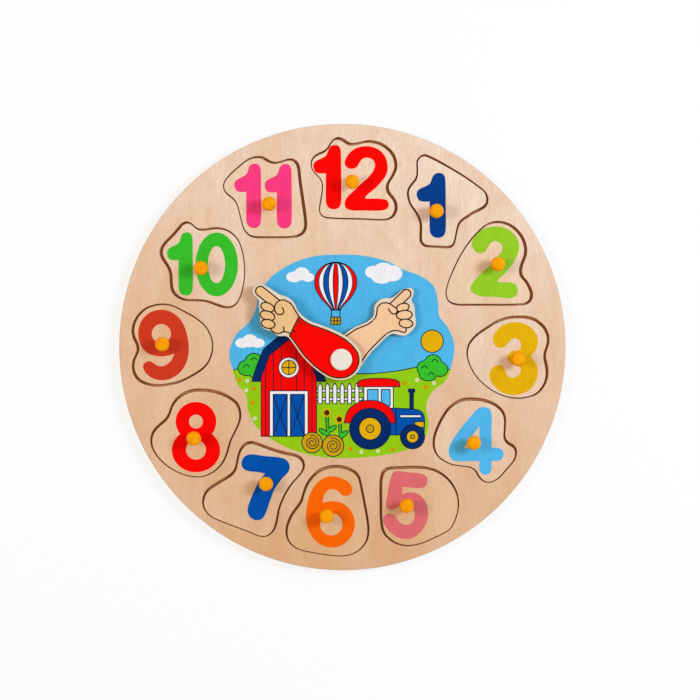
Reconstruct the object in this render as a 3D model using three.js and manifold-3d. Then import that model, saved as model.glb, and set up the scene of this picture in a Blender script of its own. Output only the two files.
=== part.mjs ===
// Wooden clock puzzle: a round two-layer board, twelve lift-out number pieces with knobs, two turning hands.
// Millimetres. It lies flat: +Z is up out of the clock face, +Y points to twelve o'clock, and the origin
// is the middle of the underside.
import * as THREE from 'three';
import * as BufferGeometryUtils from 'three/addons/utils/BufferGeometryUtils.js';
import Module from 'manifold-3d';

const wasm = await Module();
wasm.setup();

// Board
const BOARD_DIAMETER = 300;
const BACK_BOARD_THICKNESS = 3;
const PANEL_THICKNESS = 5;
const BOARD_SIDES = 96;

// Number pieces, cut out of the front panel
const PIECE_CLEARANCE = 1.1;
const OUTLINE_STEPS = 48;

// Knobs and the screws that hold them from below
const KNOB_HEAD_DIAMETER = 9.5;
const KNOB_NECK_DIAMETER = 6.5;
const KNOB_HEIGHT = 12.5;
const KNOB_HEAD_HEIGHT = 5.5;
const KNOB_SIDES = 14;
const SCREW_SHANK_DIAMETER = 2.4;
const SCREW_HEAD_DIAMETER = 5.2;
const SCREW_HEAD_HEIGHT = 1.5;
const SCREW_LENGTH = 11;
const SCREW_SINK = 0.3;
const SCREW_CLEARANCE = 0.15;
const SCREW_SIDES = 12;

// Hands
const HAND_THICKNESS = 3;
const HOUR_HAND_REACH = 66;
const MINUTE_HAND_REACH = 75;
const HOUR_HAND_TURN = THREE.MathUtils.degToRad(-45.2);
const MINUTE_HAND_TURN = THREE.MathUtils.degToRad(49.9);

// Pivot of the hands
const PIVOT_HEAD_DIAMETER = 14.4;
const PIVOT_HEAD_HEIGHT = 2.4;
const PIVOT_SHANK_DIAMETER = 5;
const WASHER_DIAMETER = 12;
const WASHER_THICKNESS = 0.8;
const RETAINER_FLANGE_DIAMETER = 11;
const RETAINER_FLANGE_THICKNESS = 1.4;
const RETAINER_STUD_DIAMETER = 2.6;
const RETAINER_STUD_LENGTH = 7;
const RETAINER_SINK = 0.4;
const RUNNING_CLEARANCE = 0.3;
const FIT_CLEARANCE = 0.15;
const PIVOT_SIDES = 24;

// Every cutter passes its work by this much
const OVERRUN = 1;

// Places and outlines are in hundredths of the board's radius, from its middle, with Y to twelve o'clock
const HUNDREDTH_SHARE = 0.01;
const PIVOT_PLACE_SHARE = [-0.5, -5.6];

// Recess outlines, one for each number
const RECESS_SHARES = {
  1: [
    [36.9, 86.3], [40.6, 84.9], [47, 81.4], [52.2, 78.3], [57.1, 75.1], [61.7, 71.6], [63.6, 70.1],
    [64.8, 68.4], [65.3, 66.5], [65.2, 64.7], [64.5, 63.2], [62.9, 61.8], [58.3, 59.5], [55.9, 57.9],
    [54, 56.7], [52.8, 55.5], [52, 53.7], [51.4, 51.5], [50.5, 47.2], [49.8, 45.6], [48.5, 44.5],
    [47, 44.3], [41.2, 44.6], [38.4, 44.8], [36.6, 45.2], [35.3, 46.2], [34.7, 47.5], [34.6, 50],
    [34.7, 54.9], [34.1, 57.4], [32.9, 59.8], [30.1, 64.1], [29.4, 66.2], [29, 68.4], [29.2, 70.2],
    [30, 72.1], [32.6, 75.4], [33.2, 77.3], [33.3, 81.9], [33.4, 83.7], [34.3, 84.9], [35.4, 86],
  ],
  2: [
    [69.3, 56.4], [71.4, 56.3], [73.9, 55.7], [76, 54.7], [78.2, 53], [80, 51], [81.4, 48.7],
    [82.5, 45.4], [82.7, 42.9], [82, 39.5], [81.1, 37.4], [80.5, 35.2], [80.5, 33.1], [81.2, 31.4],
    [82.6, 29.9], [84.1, 27.4], [85.1, 24.9], [85.3, 22.9], [84.6, 20.8], [83.2, 19.4], [81.2, 18.9],
    [74.5, 18.6], [65.9, 18.6], [57.3, 18.6], [51.8, 18.7], [49.4, 19.3], [47.7, 20.3], [46.7, 21.8],
    [46.4, 23.6], [46.5, 26.2], [47.4, 29.3], [49.4, 34.3], [52.4, 40.5], [56.3, 46.7], [60.4, 51.5],
    [62.5, 53.5], [64.8, 55.2], [67.1, 56.1],
  ],
  3: [
    [79.8, 14], [82.3, 13.9], [84.4, 13.5], [86.6, 12.7], [88.7, 11.2], [90.6, 9.4], [92, 7],
    [92.7, 4.2], [92.5, 1.5], [91.8, -0.9], [91.2, -2.8], [91.2, -4.9], [91.9, -8.2], [92.2, -11.7],
    [91.8, -14.4], [90.7, -17.1], [88.9, -19.6], [86.3, -21.6], [82.6, -22.7], [78.9, -23.1],
    [74, -22.5], [69.1, -20.7], [64.2, -17.5], [60.2, -13.6], [57.3, -8.9], [55.8, -4], [55.8, -1],
    [56.8, 2], [59.9, 5.7], [64.5, 9], [69.4, 12], [74.9, 13.7],
  ],
  4: [
    [58.4, -22.7], [63.6, -23.3], [68.5, -25.2], [70.3, -26.6], [71.9, -28.3], [72.8, -30.2],
    [73.2, -32.4], [73.1, -36.4], [72.9, -39.4], [73.2, -40.8], [74, -42.1], [75.5, -43.1],
    [77.1, -44.2], [77.9, -45.6], [78.1, -47.3], [77.8, -49.2], [76.7, -51.4], [74.3, -54.2],
    [71, -58], [69.1, -59.5], [67.3, -60.4], [65.4, -60.7], [63.7, -60.4], [62.1, -59.4], [60.8, -57.9],
    [59.8, -56.1], [58.6, -54.8], [57.1, -54], [53.2, -53.4], [48.6, -52.6], [44.6, -50.6],
    [42.7, -49], [41.4, -47], [40.6, -44.4], [40.6, -41.5], [41.3, -38.2], [43.5, -33], [46.7, -27.8],
    [48.9, -25.6], [51.3, -24], [54.6, -22.9],
  ],
  5: [
    [20.3, -53.9], [25.2, -53.5], [30.4, -53.3], [36.5, -53.5], [41.4, -54.7], [45.7, -57.2],
    [49.2, -60.9], [51.5, -65.5], [52.2, -70.4], [51.5, -75], [49.5, -79.9], [47.9, -81.9],
    [45.7, -83.4], [40.5, -85.9], [35.3, -88.1], [30.4, -89.1], [26.1, -88.8], [21.8, -86.9],
    [18.4, -83.6], [17.3, -80.6], [16.8, -76.2], [16.7, -69.4], [16.8, -59.3], [17.2, -57.3],
    [17.8, -55.8], [18.9, -54.5],
  ],
  6: [
    [-2.9, -52.9], [-0.2, -53.1], [2.3, -53.7], [4.7, -54.8], [6.6, -56.3], [7.8, -58.3], [9, -63.3],
    [10.2, -69.4], [11.5, -76.4], [12, -81], [11.8, -84.4], [10.5, -87.9], [6.9, -91.6], [2, -93.5],
    [-4.5, -93.5], [-12.8, -92.3], [-18, -91.2], [-20.1, -90.5], [-22.1, -89.3], [-23.8, -87.6],
    [-24.9, -85.6], [-25.4, -82.8], [-25, -79.5], [-22.9, -74.6], [-19.8, -70.3], [-18.6, -68.2],
    [-17.2, -63.6], [-14.8, -59], [-10.9, -55.1], [-8.2, -53.8], [-5.4, -53.1],
  ],
  7: [
    [-41, -42.2], [-38.7, -42.6], [-36.4, -43.4], [-30.4, -45.6], [-24, -47.3], [-21.4, -47.8],
    [-19.4, -48.6], [-17.9, -50.1], [-17, -51.8], [-16.9, -53.4], [-17.4, -55], [-18.7, -57.1],
    [-22.2, -61], [-25.4, -66], [-27.9, -72], [-29, -77.6], [-29.7, -80], [-30.5, -82], [-31.9, -83.6],
    [-33.4, -84.6], [-35, -85], [-37.4, -84.7], [-42.7, -82.6], [-50, -79.9], [-56.7, -77.2],
    [-59.4, -75.7], [-61.2, -73.8], [-62.4, -71.6], [-62.8, -69.3], [-62.4, -67], [-61.4, -64.7],
    [-59.6, -62.8], [-55, -59.8], [-50.2, -56.8], [-48.9, -55.4], [-48, -53.6], [-47.1, -49.2],
    [-46.4, -46.8], [-45.4, -44.8], [-44, -43.3], [-42.5, -42.4],
  ],
  8: [
    [-63.6, -18.7], [-57.4, -19.3], [-52.8, -20.8], [-48.2, -23.7], [-46.5, -25.7], [-45.5, -29],
    [-45.6, -32.4], [-47.6, -37.4], [-49.8, -42], [-51.3, -47.2], [-53.4, -51.8], [-57.1, -55.6],
    [-62, -58], [-66.9, -58.2], [-71.8, -57], [-77.4, -54.2], [-81.7, -50.6], [-85, -46],
    [-86, -42.4], [-85.6, -39.2], [-84.6, -37.1], [-82.9, -35.1], [-80.7, -33.2], [-79, -31.6],
    [-78, -29.7], [-76.3, -25.4], [-74.9, -23.4], [-73.1, -21.6], [-70.9, -20.2], [-67.4, -19],
  ],
  9: [
    [-80.5, 19.4], [-76.5, 18.8], [-70.4, 15.9], [-66.7, 13.9], [-63.7, 11.7], [-61.2, 9.3],
    [-59.5, 6.5], [-58.2, 3], [-58, -1], [-59.4, -6], [-61.5, -9], [-64.9, -11.7], [-71.9, -15.5],
    [-76.5, -16.9], [-80.8, -17.6], [-84.2, -17.6], [-87.9, -16.9], [-90.9, -15.5], [-92.6, -13.9],
    [-93.9, -11.3], [-94.3, -8.8], [-93.9, -6], [-92.8, -3.4], [-92.1, -1.2], [-92.4, 0.8],
    [-93.4, 2.9], [-94.3, 5.6], [-94.3, 8.7], [-93.4, 11.7], [-91.4, 14.8], [-88.8, 17.2],
    [-86, 18.5], [-83.3, 19.2],
  ],
  10: [
    [-70, 56.2], [-68.2, 55.8], [-66.3, 54.2], [-64.8, 53.2], [-62.9, 52.9], [-56.5, 53.6],
    [-53.1, 53.1], [-50.4, 51.9], [-47.9, 49.7], [-46.1, 47], [-44.7, 42.8], [-43.8, 37],
    [-43.8, 31], [-45, 24.4], [-46.2, 21.2], [-47.8, 18.9], [-49.8, 17.7], [-51.9, 17.4],
    [-54.4, 17.9], [-60.5, 20], [-63.6, 20.5], [-70.9, 20.9], [-73.7, 22], [-75.8, 23.8],
    [-77, 26.3], [-77.4, 31.2], [-78, 34.6], [-79.5, 37.2], [-81.1, 39.7], [-81.8, 42],
    [-81.4, 44.5], [-80.1, 46.6], [-76.1, 50.8], [-72.5, 55], [-71.4, 56],
  ],
  11: [
    [-37.4, 85.5], [-34.9, 85], [-32.8, 83.7], [-30.3, 82.9], [-27.9, 83.2], [-23.6, 84.4],
    [-21.3, 84], [-20.1, 82.8], [-19.1, 80.6], [-18.5, 75.3], [-17.1, 65.5], [-15.9, 56],
    [-16.1, 53], [-17.4, 50.8], [-19.9, 49.4], [-23.3, 48.9], [-31, 48.8], [-38.6, 48.9],
    [-40.8, 49.4], [-42.8, 50.8], [-44.3, 52.9], [-45.2, 55.8], [-47.1, 63], [-48.4, 65.6],
    [-50.3, 67.3], [-52.1, 68.8], [-53.2, 70.7], [-53.4, 72.7], [-52.4, 75], [-50.1, 77.7],
    [-45.1, 82.2], [-42.3, 84.2], [-39.8, 85.2],
  ],
  12: [
    [-1.4, 94], [0.4, 93.4], [2.3, 92], [4.5, 91.3], [8.1, 91.9], [11.4, 92.6], [15.1, 92.2],
    [18.2, 91.1], [21, 89.1], [23.1, 86.7], [24.3, 83.6], [24.5, 80.5], [23.6, 77.8], [21.8, 74.7],
    [20.8, 72.6], [20.8, 70.6], [21.9, 68.7], [23.7, 66.3], [24.6, 63.8], [24.4, 61], [23.2, 58.7],
    [21.3, 57.3], [18.8, 56.8], [9.6, 57.1], [-6.3, 57.7], [-8.5, 58.3], [-10, 59.8], [-10.4, 61.8],
    [-10, 64.9], [-9.2, 70], [-9.2, 73.4], [-9.9, 75.2], [-11.4, 76.8], [-13.3, 79], [-14.1, 81.2],
    [-13.9, 83.6], [-12.9, 85.4], [-10.9, 86.8], [-8.5, 87.9], [-6.7, 89.3], [-5.3, 91.6], [-3.7, 93.4],
  ],
};

// Where each knob stands
const KNOB_PLACE_SHARES = {
  1: [41.9, 60.5],
  2: [69.2, 36.9],
  3: [78.3, -5.4],
  4: [58.5, -42.6],
  5: [28.6, -70.6],
  6: [-7, -75.3],
  7: [-34, -60.9],
  8: [-66.1, -40.7],
  9: [-80.1, 1.2],
  10: [-62.9, 35.1],
  11: [-32.6, 63.7],
  12: [4.4, 73.5],
};

// How each piece lies in its recess, in shares of the clearance round it: along X, along Y, and turned
const LIE_SHARES = {
  1: [0.1, 0.1, 0.55],
  2: [-0.65, -0.1, 0],
  3: [-0.4, -0.5, 0],
  4: [0.05, -0.65, 0],
  5: [0.45, -0.5, 0],
  6: [0, -0.7, 0],
  7: [-0.1, -0.65, 0],
  8: [-0.05, -0.65, 0],
  9: [0.45, 0.3, -0.2],
  10: [0.65, 0, 0],
  11: [-0.65, 0, 0],
  12: [-0.6, -0.35, 0],
};

// Hand outlines in hundredths of the hand's reach, from the pivot, pointing along Y
const HOUR_HAND_SHARES = [
  [0, 102], [2.9, 101], [5.2, 98.2], [6.5, 94.8], [8.6, 92.6], [11.8, 91.6], [15.2, 89.8],
  [18.4, 87.2], [21.8, 84.2], [25.4, 81.6], [28.2, 78.4], [29.6, 74.4], [29.8, 69.6], [29.4, 65.4],
  [27.4, 61.8], [23.6, 59], [19.8, 56.8], [17.2, 53.6], [16.3, 49], [16.1, 38], [16.4, 26],
  [17.6, 18], [19.4, 9], [20, 2], [19.4, -4], [17.2, -10], [13.4, -14.8], [8.4, -18.2], [2.6, -19.8],
  [-3.4, -19.7], [-9, -17.8], [-13.8, -14.2], [-17.2, -9.4], [-19, -3.6], [-19.2, 2.6], [-18.2, 10],
  [-16, 21], [-13.8, 33], [-11.4, 38.6], [-9.4, 43.6], [-8.2, 49], [-8.4, 54], [-10.4, 57.4],
  [-13.4, 60.2], [-15.5, 64], [-15.8, 68.6], [-14.6, 72.8], [-12.2, 76.4], [-9.4, 79], [-7.8, 82],
  [-7.3, 86.5], [-7, 91], [-5.8, 95.5], [-3.4, 99.8],
];
const MINUTE_HAND_SHARES = [
  [0.3, 101.2], [2.6, 100.6], [4.8, 98.8], [6.5, 95.5], [7.5, 91], [8.2, 86], [8.7, 81.5],
  [9.6, 77.8], [11, 74.6], [12, 71], [12.1, 67], [11.2, 63.2], [9.4, 59.8], [8.2, 56], [7.7, 51.5],
  [7.9, 46.5], [9.1, 41], [11.2, 35.8], [15, 25], [18, 13.5], [18.7, 7.5], [18.6, 1.5], [17.6, -4.8],
  [15.4, -10], [11.6, -14.2], [6.6, -17], [0.8, -18.2], [-5.2, -17.4], [-10.6, -14.8], [-15, -10.6],
  [-18.2, -5.4], [-20.2, 0.6], [-21.1, 7.5], [-21.3, 14.5], [-20, 28.5], [-16.6, 42], [-15.4, 48],
  [-16, 51.4], [-18.4, 53.9], [-20.1, 57], [-20.7, 61], [-21.5, 65.5], [-23.1, 69], [-23.3, 72.4],
  [-21.8, 75.9], [-19.4, 78], [-17.3, 80], [-15.6, 82.6], [-12.6, 84.6], [-10.6, 87.2], [-8, 88.8],
  [-6.5, 91.5], [-6.3, 95.5], [-4.8, 98.9], [-2.4, 100.7],
];
const HAND_STEPS = 72;

// Knob profile from its foot to its crown: shares of the neck's or head's radius, and of the height
// below or in the head
const KNOB_NECK_SHARES = [[1.12, 0], [0.94, 0.3], [0.94, 0.8]];
const KNOB_HEAD_SHARES = [[0.86, 0], [1, 0.22], [0.96, 0.6], [0.8, 0.86], [0.48, 0.97]];

// Pivot head profile: shares of the head's radius and height
const PIVOT_HEAD_SHARES = [[0.96, 0], [1, 0.18], [1, 0.55], [0.94, 0.84], [0.82, 1]];

// Heights of the layers above the underside
const PANEL_BASE = BACK_BOARD_THICKNESS;
const FACE_LEVEL = PANEL_BASE + PANEL_THICKNESS;
const HOUR_HAND_BASE = FACE_LEVEL + WASHER_THICKNESS + RUNNING_CLEARANCE;
const UPPER_WASHER_BASE = HOUR_HAND_BASE + HAND_THICKNESS + RUNNING_CLEARANCE;
const MINUTE_HAND_BASE = UPPER_WASHER_BASE + WASHER_THICKNESS + RUNNING_CLEARANCE;
const PIVOT_HEAD_BASE = MINUTE_HAND_BASE + HAND_THICKNESS + RUNNING_CLEARANCE;
const RETAINER_TOP = RETAINER_SINK + RETAINER_FLANGE_THICKNESS;
const SHANK_FOOT = RETAINER_TOP + FIT_CLEARANCE;

// Radii worked out from the fits
const BOARD_RADIUS = BOARD_DIAMETER / 2;
const SHANK_RADIUS = PIVOT_SHANK_DIAMETER / 2;
const HAND_BORE_RADIUS = SHANK_RADIUS + RUNNING_CLEARANCE;
const BOARD_BORE_RADIUS = SHANK_RADIUS + FIT_CLEARANCE;
const POCKET_RADIUS = RETAINER_FLANGE_DIAMETER / 2 + FIT_CLEARANCE;
const STUD_RADIUS = RETAINER_STUD_DIAMETER / 2;

// Materials
const materials = {
  panelWood: new THREE.MeshStandardMaterial({ color: 0xe9c9a6, roughness: 0.62, metalness: 0 }),
  backWood: new THREE.MeshStandardMaterial({ color: 0xb98a5e, roughness: 0.7, metalness: 0 }),
  pieceWood: new THREE.MeshStandardMaterial({ color: 0xefd1b0, roughness: 0.6, metalness: 0 }),
  knobPaint: new THREE.MeshStandardMaterial({ color: 0xfaa500, roughness: 0.4, metalness: 0 }),
  steel: new THREE.MeshStandardMaterial({ color: 0xb9bcc0, roughness: 0.35, metalness: 1 }),
  handWood: new THREE.MeshStandardMaterial({ color: 0xf2d4a8, roughness: 0.55, metalness: 0 }),
  sleevePaint: new THREE.MeshStandardMaterial({ color: 0xe80c10, roughness: 0.5, metalness: 0 }),
  whitePlastic: new THREE.MeshStandardMaterial({ color: 0xebe4de, roughness: 0.4, metalness: 0 }),
  washerFibre: new THREE.MeshStandardMaterial({ color: 0x8a5a36, roughness: 0.8, metalness: 0 }),
};

// Smooth closed curve through points given as shares of a length, as evenly spaced corners
function smoothOutline(shares, length, steps) {
  const scale = length * HUNDREDTH_SHARE;
  const points = shares.map(([x, y]) => new THREE.Vector3(x * scale, y * scale, 0));
  const curve = new THREE.CatmullRomCurve3(points, true, 'centripetal');
  curve.arcLengthDivisions = steps * points.length;
  return curve.getSpacedPoints(steps).slice(0, steps).map((p) => new THREE.Vector2(p.x, p.y));
}

// The same outline moved inwards by a distance
function insetOutline(points, distance) {
  const side = THREE.ShapeUtils.isClockWise(points) ? -1 : 1;
  return points.map((point, index) => {
    const before = points[(index + points.length - 1) % points.length];
    const after = points[(index + 1) % points.length];
    const arriving = point.clone().sub(before).normalize();
    const leaving = after.clone().sub(point).normalize();
    const along = arriving.clone().add(leaving).normalize();
    const inwards = new THREE.Vector2(-along.y, along.x).multiplyScalar(side);
    return point.clone().addScaledVector(inwards, distance / along.dot(arriving));
  });
}

function circleOutline(radius, sides, centre = new THREE.Vector2()) {
  return Array.from({ length: sides }, (_, index) => {
    const angle = (2 * Math.PI * index) / sides;
    return new THREE.Vector2(Math.cos(angle), Math.sin(angle)).multiplyScalar(radius).add(centre);
  });
}

// Flat plate of one thickness, with holes right through it
function plate(outline, thickness, holes = []) {
  const shape = new THREE.Shape(outline);
  shape.holes = holes.map((hole) => new THREE.Path(hole));
  return new THREE.ExtrudeGeometry(shape, { depth: thickness, bevelEnabled: false });
}

// Turned solid about +Z, from a profile of [radius, height] points that climbs from axis to axis
function turned(profile, sides) {
  const points = profile.map(([radius, height]) => new THREE.Vector2(radius, height));
  return new THREE.LatheGeometry(points, sides).rotateX(Math.PI / 2);
}

function toSolid(geometry) {
  const bare = geometry.clone();
  bare.deleteAttribute('normal');
  bare.deleteAttribute('uv');
  const merged = BufferGeometryUtils.mergeVertices(bare);
  return new wasm.Manifold(new wasm.Mesh({
    numProp: 3,
    vertProperties: new Float32Array(merged.attributes.position.array),
    triVerts: new Uint32Array(merged.index.array),
  }));
}

function toGeometry(solid) {
  const mesh = solid.getMesh();
  const geometry = new THREE.BufferGeometry();
  geometry.setAttribute('position', new THREE.BufferAttribute(mesh.vertProperties, 3));
  geometry.setIndex(new THREE.BufferAttribute(mesh.triVerts, 1));
  geometry.computeVertexNormals();
  return geometry;
}

function cut(geometry, cutter) {
  return toGeometry(toSolid(geometry).subtract(toSolid(cutter)));
}

function placeOnBoard([x, y]) {
  return new THREE.Vector2(x, y).multiplyScalar(BOARD_RADIUS * HUNDREDTH_SHARE);
}

function named(name, geometry, material, height = 0) {
  const mesh = new THREE.Mesh(geometry, material);
  mesh.name = name;
  mesh.position.z = height;
  return mesh;
}

const pivotPlace = placeOnBoard(PIVOT_PLACE_SHARE);

// Front panel and back board
function buildFrontPanel() {
  const recesses = Object.values(RECESS_SHARES)
    .map((shares) => smoothOutline(shares, BOARD_RADIUS, OUTLINE_STEPS));
  const bore = circleOutline(BOARD_BORE_RADIUS, PIVOT_SIDES, pivotPlace);
  const disc = circleOutline(BOARD_RADIUS, BOARD_SIDES);
  const panel = plate(disc, PANEL_THICKNESS, [...recesses, bore]);
  return named('front_panel', panel, materials.panelWood, PANEL_BASE);
}

function buildBackBoard() {
  const bore = circleOutline(BOARD_BORE_RADIUS, PIVOT_SIDES, pivotPlace);
  const disc = plate(circleOutline(BOARD_RADIUS, BOARD_SIDES), BACK_BOARD_THICKNESS, [bore]);
  const pocketDepth = SHANK_FOOT + FIT_CLEARANCE;
  const pocket = plate(circleOutline(POCKET_RADIUS, PIVOT_SIDES, pivotPlace), pocketDepth + OVERRUN);
  pocket.translate(0, 0, -OVERRUN);
  return named('back_board', cut(disc, pocket), materials.backWood);
}

// A number piece with its knob and screw, in a group that stands at the knob's place
function buildPiece(number) {
  const group = new THREE.Group();
  const place = placeOnBoard(KNOB_PLACE_SHARES[number]);
  group.position.set(place.x, place.y, PANEL_BASE);

  const recess = smoothOutline(RECESS_SHARES[number], BOARD_RADIUS, OUTLINE_STEPS);
  const centred = insetOutline(recess, PIECE_CLEARANCE).map((point) => point.sub(place));
  const farthest = Math.max(...centred.map((point) => point.length()));
  const [alongX, alongY, turn] = LIE_SHARES[number].map((share) => share * PIECE_CLEARANCE);
  const lie = new THREE.Vector2(alongX, alongY);
  const outline = centred.map((point) => point.rotateAround(new THREE.Vector2(), turn / farthest).add(lie));

  const blank = plate(outline, PANEL_THICKNESS);
  group.add(named(`puzzle_piece_${number}`, cut(blank, screwHoleCutter()), materials.pieceWood));
  group.add(named(`knob_${number}`, knobGeometry(), materials.knobPaint, PANEL_THICKNESS));
  group.add(named(`knob_screw_${number}`, screwGeometry(), materials.steel, SCREW_SINK));
  return group;
}

// Countersunk hole that the screw passes through, from the piece's underside
function screwHoleCutter() {
  const shank = SCREW_SHANK_DIAMETER / 2 + SCREW_CLEARANCE;
  const head = SCREW_HEAD_DIAMETER / 2 + SCREW_CLEARANCE;
  const sinkTop = SCREW_SINK + SCREW_CLEARANCE;
  return turned([
    [0, -OVERRUN],
    [head, -OVERRUN],
    [head, sinkTop],
    [shank, sinkTop + SCREW_HEAD_HEIGHT],
    [shank, PANEL_THICKNESS + OVERRUN],
    [0, PANEL_THICKNESS + OVERRUN],
  ], SCREW_SIDES);
}

function screwGeometry() {
  const shank = SCREW_SHANK_DIAMETER / 2;
  const head = SCREW_HEAD_DIAMETER / 2;
  return turned([
    [0, 0],
    [head, 0],
    [shank, SCREW_HEAD_HEIGHT],
    [shank, SCREW_LENGTH - SCREW_SHANK_DIAMETER],
    [0, SCREW_LENGTH],
  ], SCREW_SIDES);
}

// Mushroom knob with the screw's blind pilot hole in its foot
function knobGeometry() {
  const neck = KNOB_NECK_DIAMETER / 2;
  const head = KNOB_HEAD_DIAMETER / 2;
  const neckHeight = KNOB_HEIGHT - KNOB_HEAD_HEIGHT;
  const pilot = SCREW_SHANK_DIAMETER / 2 + SCREW_CLEARANCE;
  const pilotDepth = SCREW_SINK + SCREW_LENGTH + FIT_CLEARANCE - PANEL_THICKNESS;
  return turned([
    [0, pilotDepth],
    [pilot, pilotDepth],
    [pilot, 0],
    ...KNOB_NECK_SHARES.map(([radius, height]) => [radius * neck, height * neckHeight]),
    ...KNOB_HEAD_SHARES.map(([radius, height]) => [radius * head, neckHeight + height * KNOB_HEAD_HEIGHT]),
    [0, KNOB_HEIGHT],
  ], KNOB_SIDES);
}

// A hand in a group that turns about the pivot
function buildHand(name, shares, reach, turn, height, material) {
  const group = new THREE.Group();
  group.position.set(pivotPlace.x, pivotPlace.y, height);
  group.rotation.z = turn;
  const outline = smoothOutline(shares, reach, HAND_STEPS);
  const bore = circleOutline(HAND_BORE_RADIUS, PIVOT_SIDES);
  group.add(named(name, plate(outline, HAND_THICKNESS, [bore]), material));
  return group;
}

// Washers, headed pivot and its snap-in retainer, all on the pivot's axis
function buildPivot() {
  const group = new THREE.Group();
  group.position.set(pivotPlace.x, pivotPlace.y, 0);
  const washer = plate(
    circleOutline(WASHER_DIAMETER / 2, PIVOT_SIDES),
    WASHER_THICKNESS,
    [circleOutline(HAND_BORE_RADIUS, PIVOT_SIDES)],
  );
  group.add(named('lower_washer', washer, materials.washerFibre, FACE_LEVEL));
  group.add(named('upper_washer', washer, materials.washerFibre, UPPER_WASHER_BASE));
  group.add(named('pivot_button', pivotButtonGeometry(), materials.whitePlastic, SHANK_FOOT));
  group.add(named('pivot_retainer', retainerGeometry(), materials.whitePlastic, RETAINER_SINK));
  return group;
}

// Flat round head on a shank whose foot is bored for the retainer's stud
function pivotButtonGeometry() {
  const socket = STUD_RADIUS + FIT_CLEARANCE;
  const socketDepth = RETAINER_STUD_LENGTH;
  const head = PIVOT_HEAD_DIAMETER / 2;
  const shankLength = PIVOT_HEAD_BASE - SHANK_FOOT;
  return turned([
    [0, socketDepth],
    [socket, socketDepth],
    [socket, 0],
    [SHANK_RADIUS, 0],
    [SHANK_RADIUS, shankLength],
    ...PIVOT_HEAD_SHARES.map(([radius, height]) => [radius * head, shankLength + height * PIVOT_HEAD_HEIGHT]),
    [0, shankLength + PIVOT_HEAD_HEIGHT],
  ], PIVOT_SIDES);
}

function retainerGeometry() {
  return turned([
    [0, 0],
    [RETAINER_FLANGE_DIAMETER / 2, 0],
    [RETAINER_FLANGE_DIAMETER / 2, RETAINER_FLANGE_THICKNESS],
    [STUD_RADIUS, RETAINER_FLANGE_THICKNESS],
    [STUD_RADIUS, RETAINER_FLANGE_THICKNESS + RETAINER_STUD_LENGTH],
    [0, RETAINER_FLANGE_THICKNESS + RETAINER_STUD_LENGTH],
  ], PIVOT_SIDES);
}

const clock = new THREE.Group();
clock.add(buildBackBoard());
clock.add(buildFrontPanel());
for (const number of Object.keys(RECESS_SHARES)) {
  clock.add(buildPiece(number));
}
clock.add(buildHand(
  'hour_hand',
  HOUR_HAND_SHARES,
  HOUR_HAND_REACH,
  HOUR_HAND_TURN,
  HOUR_HAND_BASE,
  materials.handWood,
));
clock.add(buildHand(
  'minute_hand',
  MINUTE_HAND_SHARES,
  MINUTE_HAND_REACH,
  MINUTE_HAND_TURN,
  MINUTE_HAND_BASE,
  materials.sleevePaint,
));
clock.add(buildPivot());

export default clock;
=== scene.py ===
"""Wooden clock puzzle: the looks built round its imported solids.

Metres. The clock lies face up: +Z out of its face, +Y to twelve o'clock, origin in the middle of its
underside. Plans are drawn in hundredths of the board's radius, or of a hand's reach.
"""

from __future__ import annotations

import logging
import math
from collections.abc import Callable, Iterable, Sequence
from dataclasses import dataclass
from enum import Enum
from functools import cache
from itertools import pairwise

import bmesh
import bpy
import numpy as np
from bpy.types import Camera, Light, Material, Mesh, Node, NodeSocket, NodeTree, Object, Scene
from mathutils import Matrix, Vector
from mathutils.geometry import delaunay_2d_cdt
from mathutils.kdtree import KDTree


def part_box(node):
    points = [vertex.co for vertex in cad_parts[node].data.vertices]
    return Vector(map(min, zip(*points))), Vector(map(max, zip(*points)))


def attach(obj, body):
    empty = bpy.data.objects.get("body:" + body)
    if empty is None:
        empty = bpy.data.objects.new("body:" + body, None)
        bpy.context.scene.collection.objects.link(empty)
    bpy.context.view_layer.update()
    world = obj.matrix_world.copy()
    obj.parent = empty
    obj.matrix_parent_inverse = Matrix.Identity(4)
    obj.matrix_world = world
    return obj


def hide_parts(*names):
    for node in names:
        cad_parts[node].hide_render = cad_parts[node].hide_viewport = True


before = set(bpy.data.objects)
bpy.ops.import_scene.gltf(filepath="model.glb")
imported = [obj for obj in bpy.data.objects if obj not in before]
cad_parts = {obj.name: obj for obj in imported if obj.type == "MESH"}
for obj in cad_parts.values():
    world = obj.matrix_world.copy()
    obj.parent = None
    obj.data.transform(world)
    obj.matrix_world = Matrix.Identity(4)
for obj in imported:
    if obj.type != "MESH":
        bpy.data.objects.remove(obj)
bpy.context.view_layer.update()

MM = 0.001
HUNDREDTH = 0.01
WELD = 0.001 * MM
INK_THICKNESS = 0.03 * MM
LINE_STEP = 0.2 * MM
CRISP_ANGLE = math.radians(38)
HOURS = range(1, 13)

# Corners that lie this near to one circle make a true circle
ROUND_WITHIN = 0.02 * MM
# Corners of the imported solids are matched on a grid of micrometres, and a face is flat within a few
MICROMETRES = 1e6
FLAT_WITHIN = 5
# A point of a margin keeps at least this share of its width from the outline
CLEAR_SHARE = 0.985
# Slopes of the rings that round an edge over
BENDS = [math.radians(degrees) for degrees in (0, 30, 60, 90)]
# Material slot of each band of an eased wall, from low to high: face, then edge, then face
RIM_BANDS = (0, 1, 1, 1, 1, 1, 0)

log = logging.getLogger("clock")

Mark = tuple[float, ...]
Plan = np.ndarray
Rings = list[tuple[Plan, float]]


# Small tools


def linear(code: str) -> Mark:
    """Turns an sRGB hex value to linear light, with an opaque alpha."""
    levels = [int(code[i : i + 2], 16) / 255 for i in (0, 2, 4)]
    return *(v / 12.92 if v <= 0.04045 else ((v + 0.055) / 1.055) ** 2.4 for v in levels), 1.0


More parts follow.
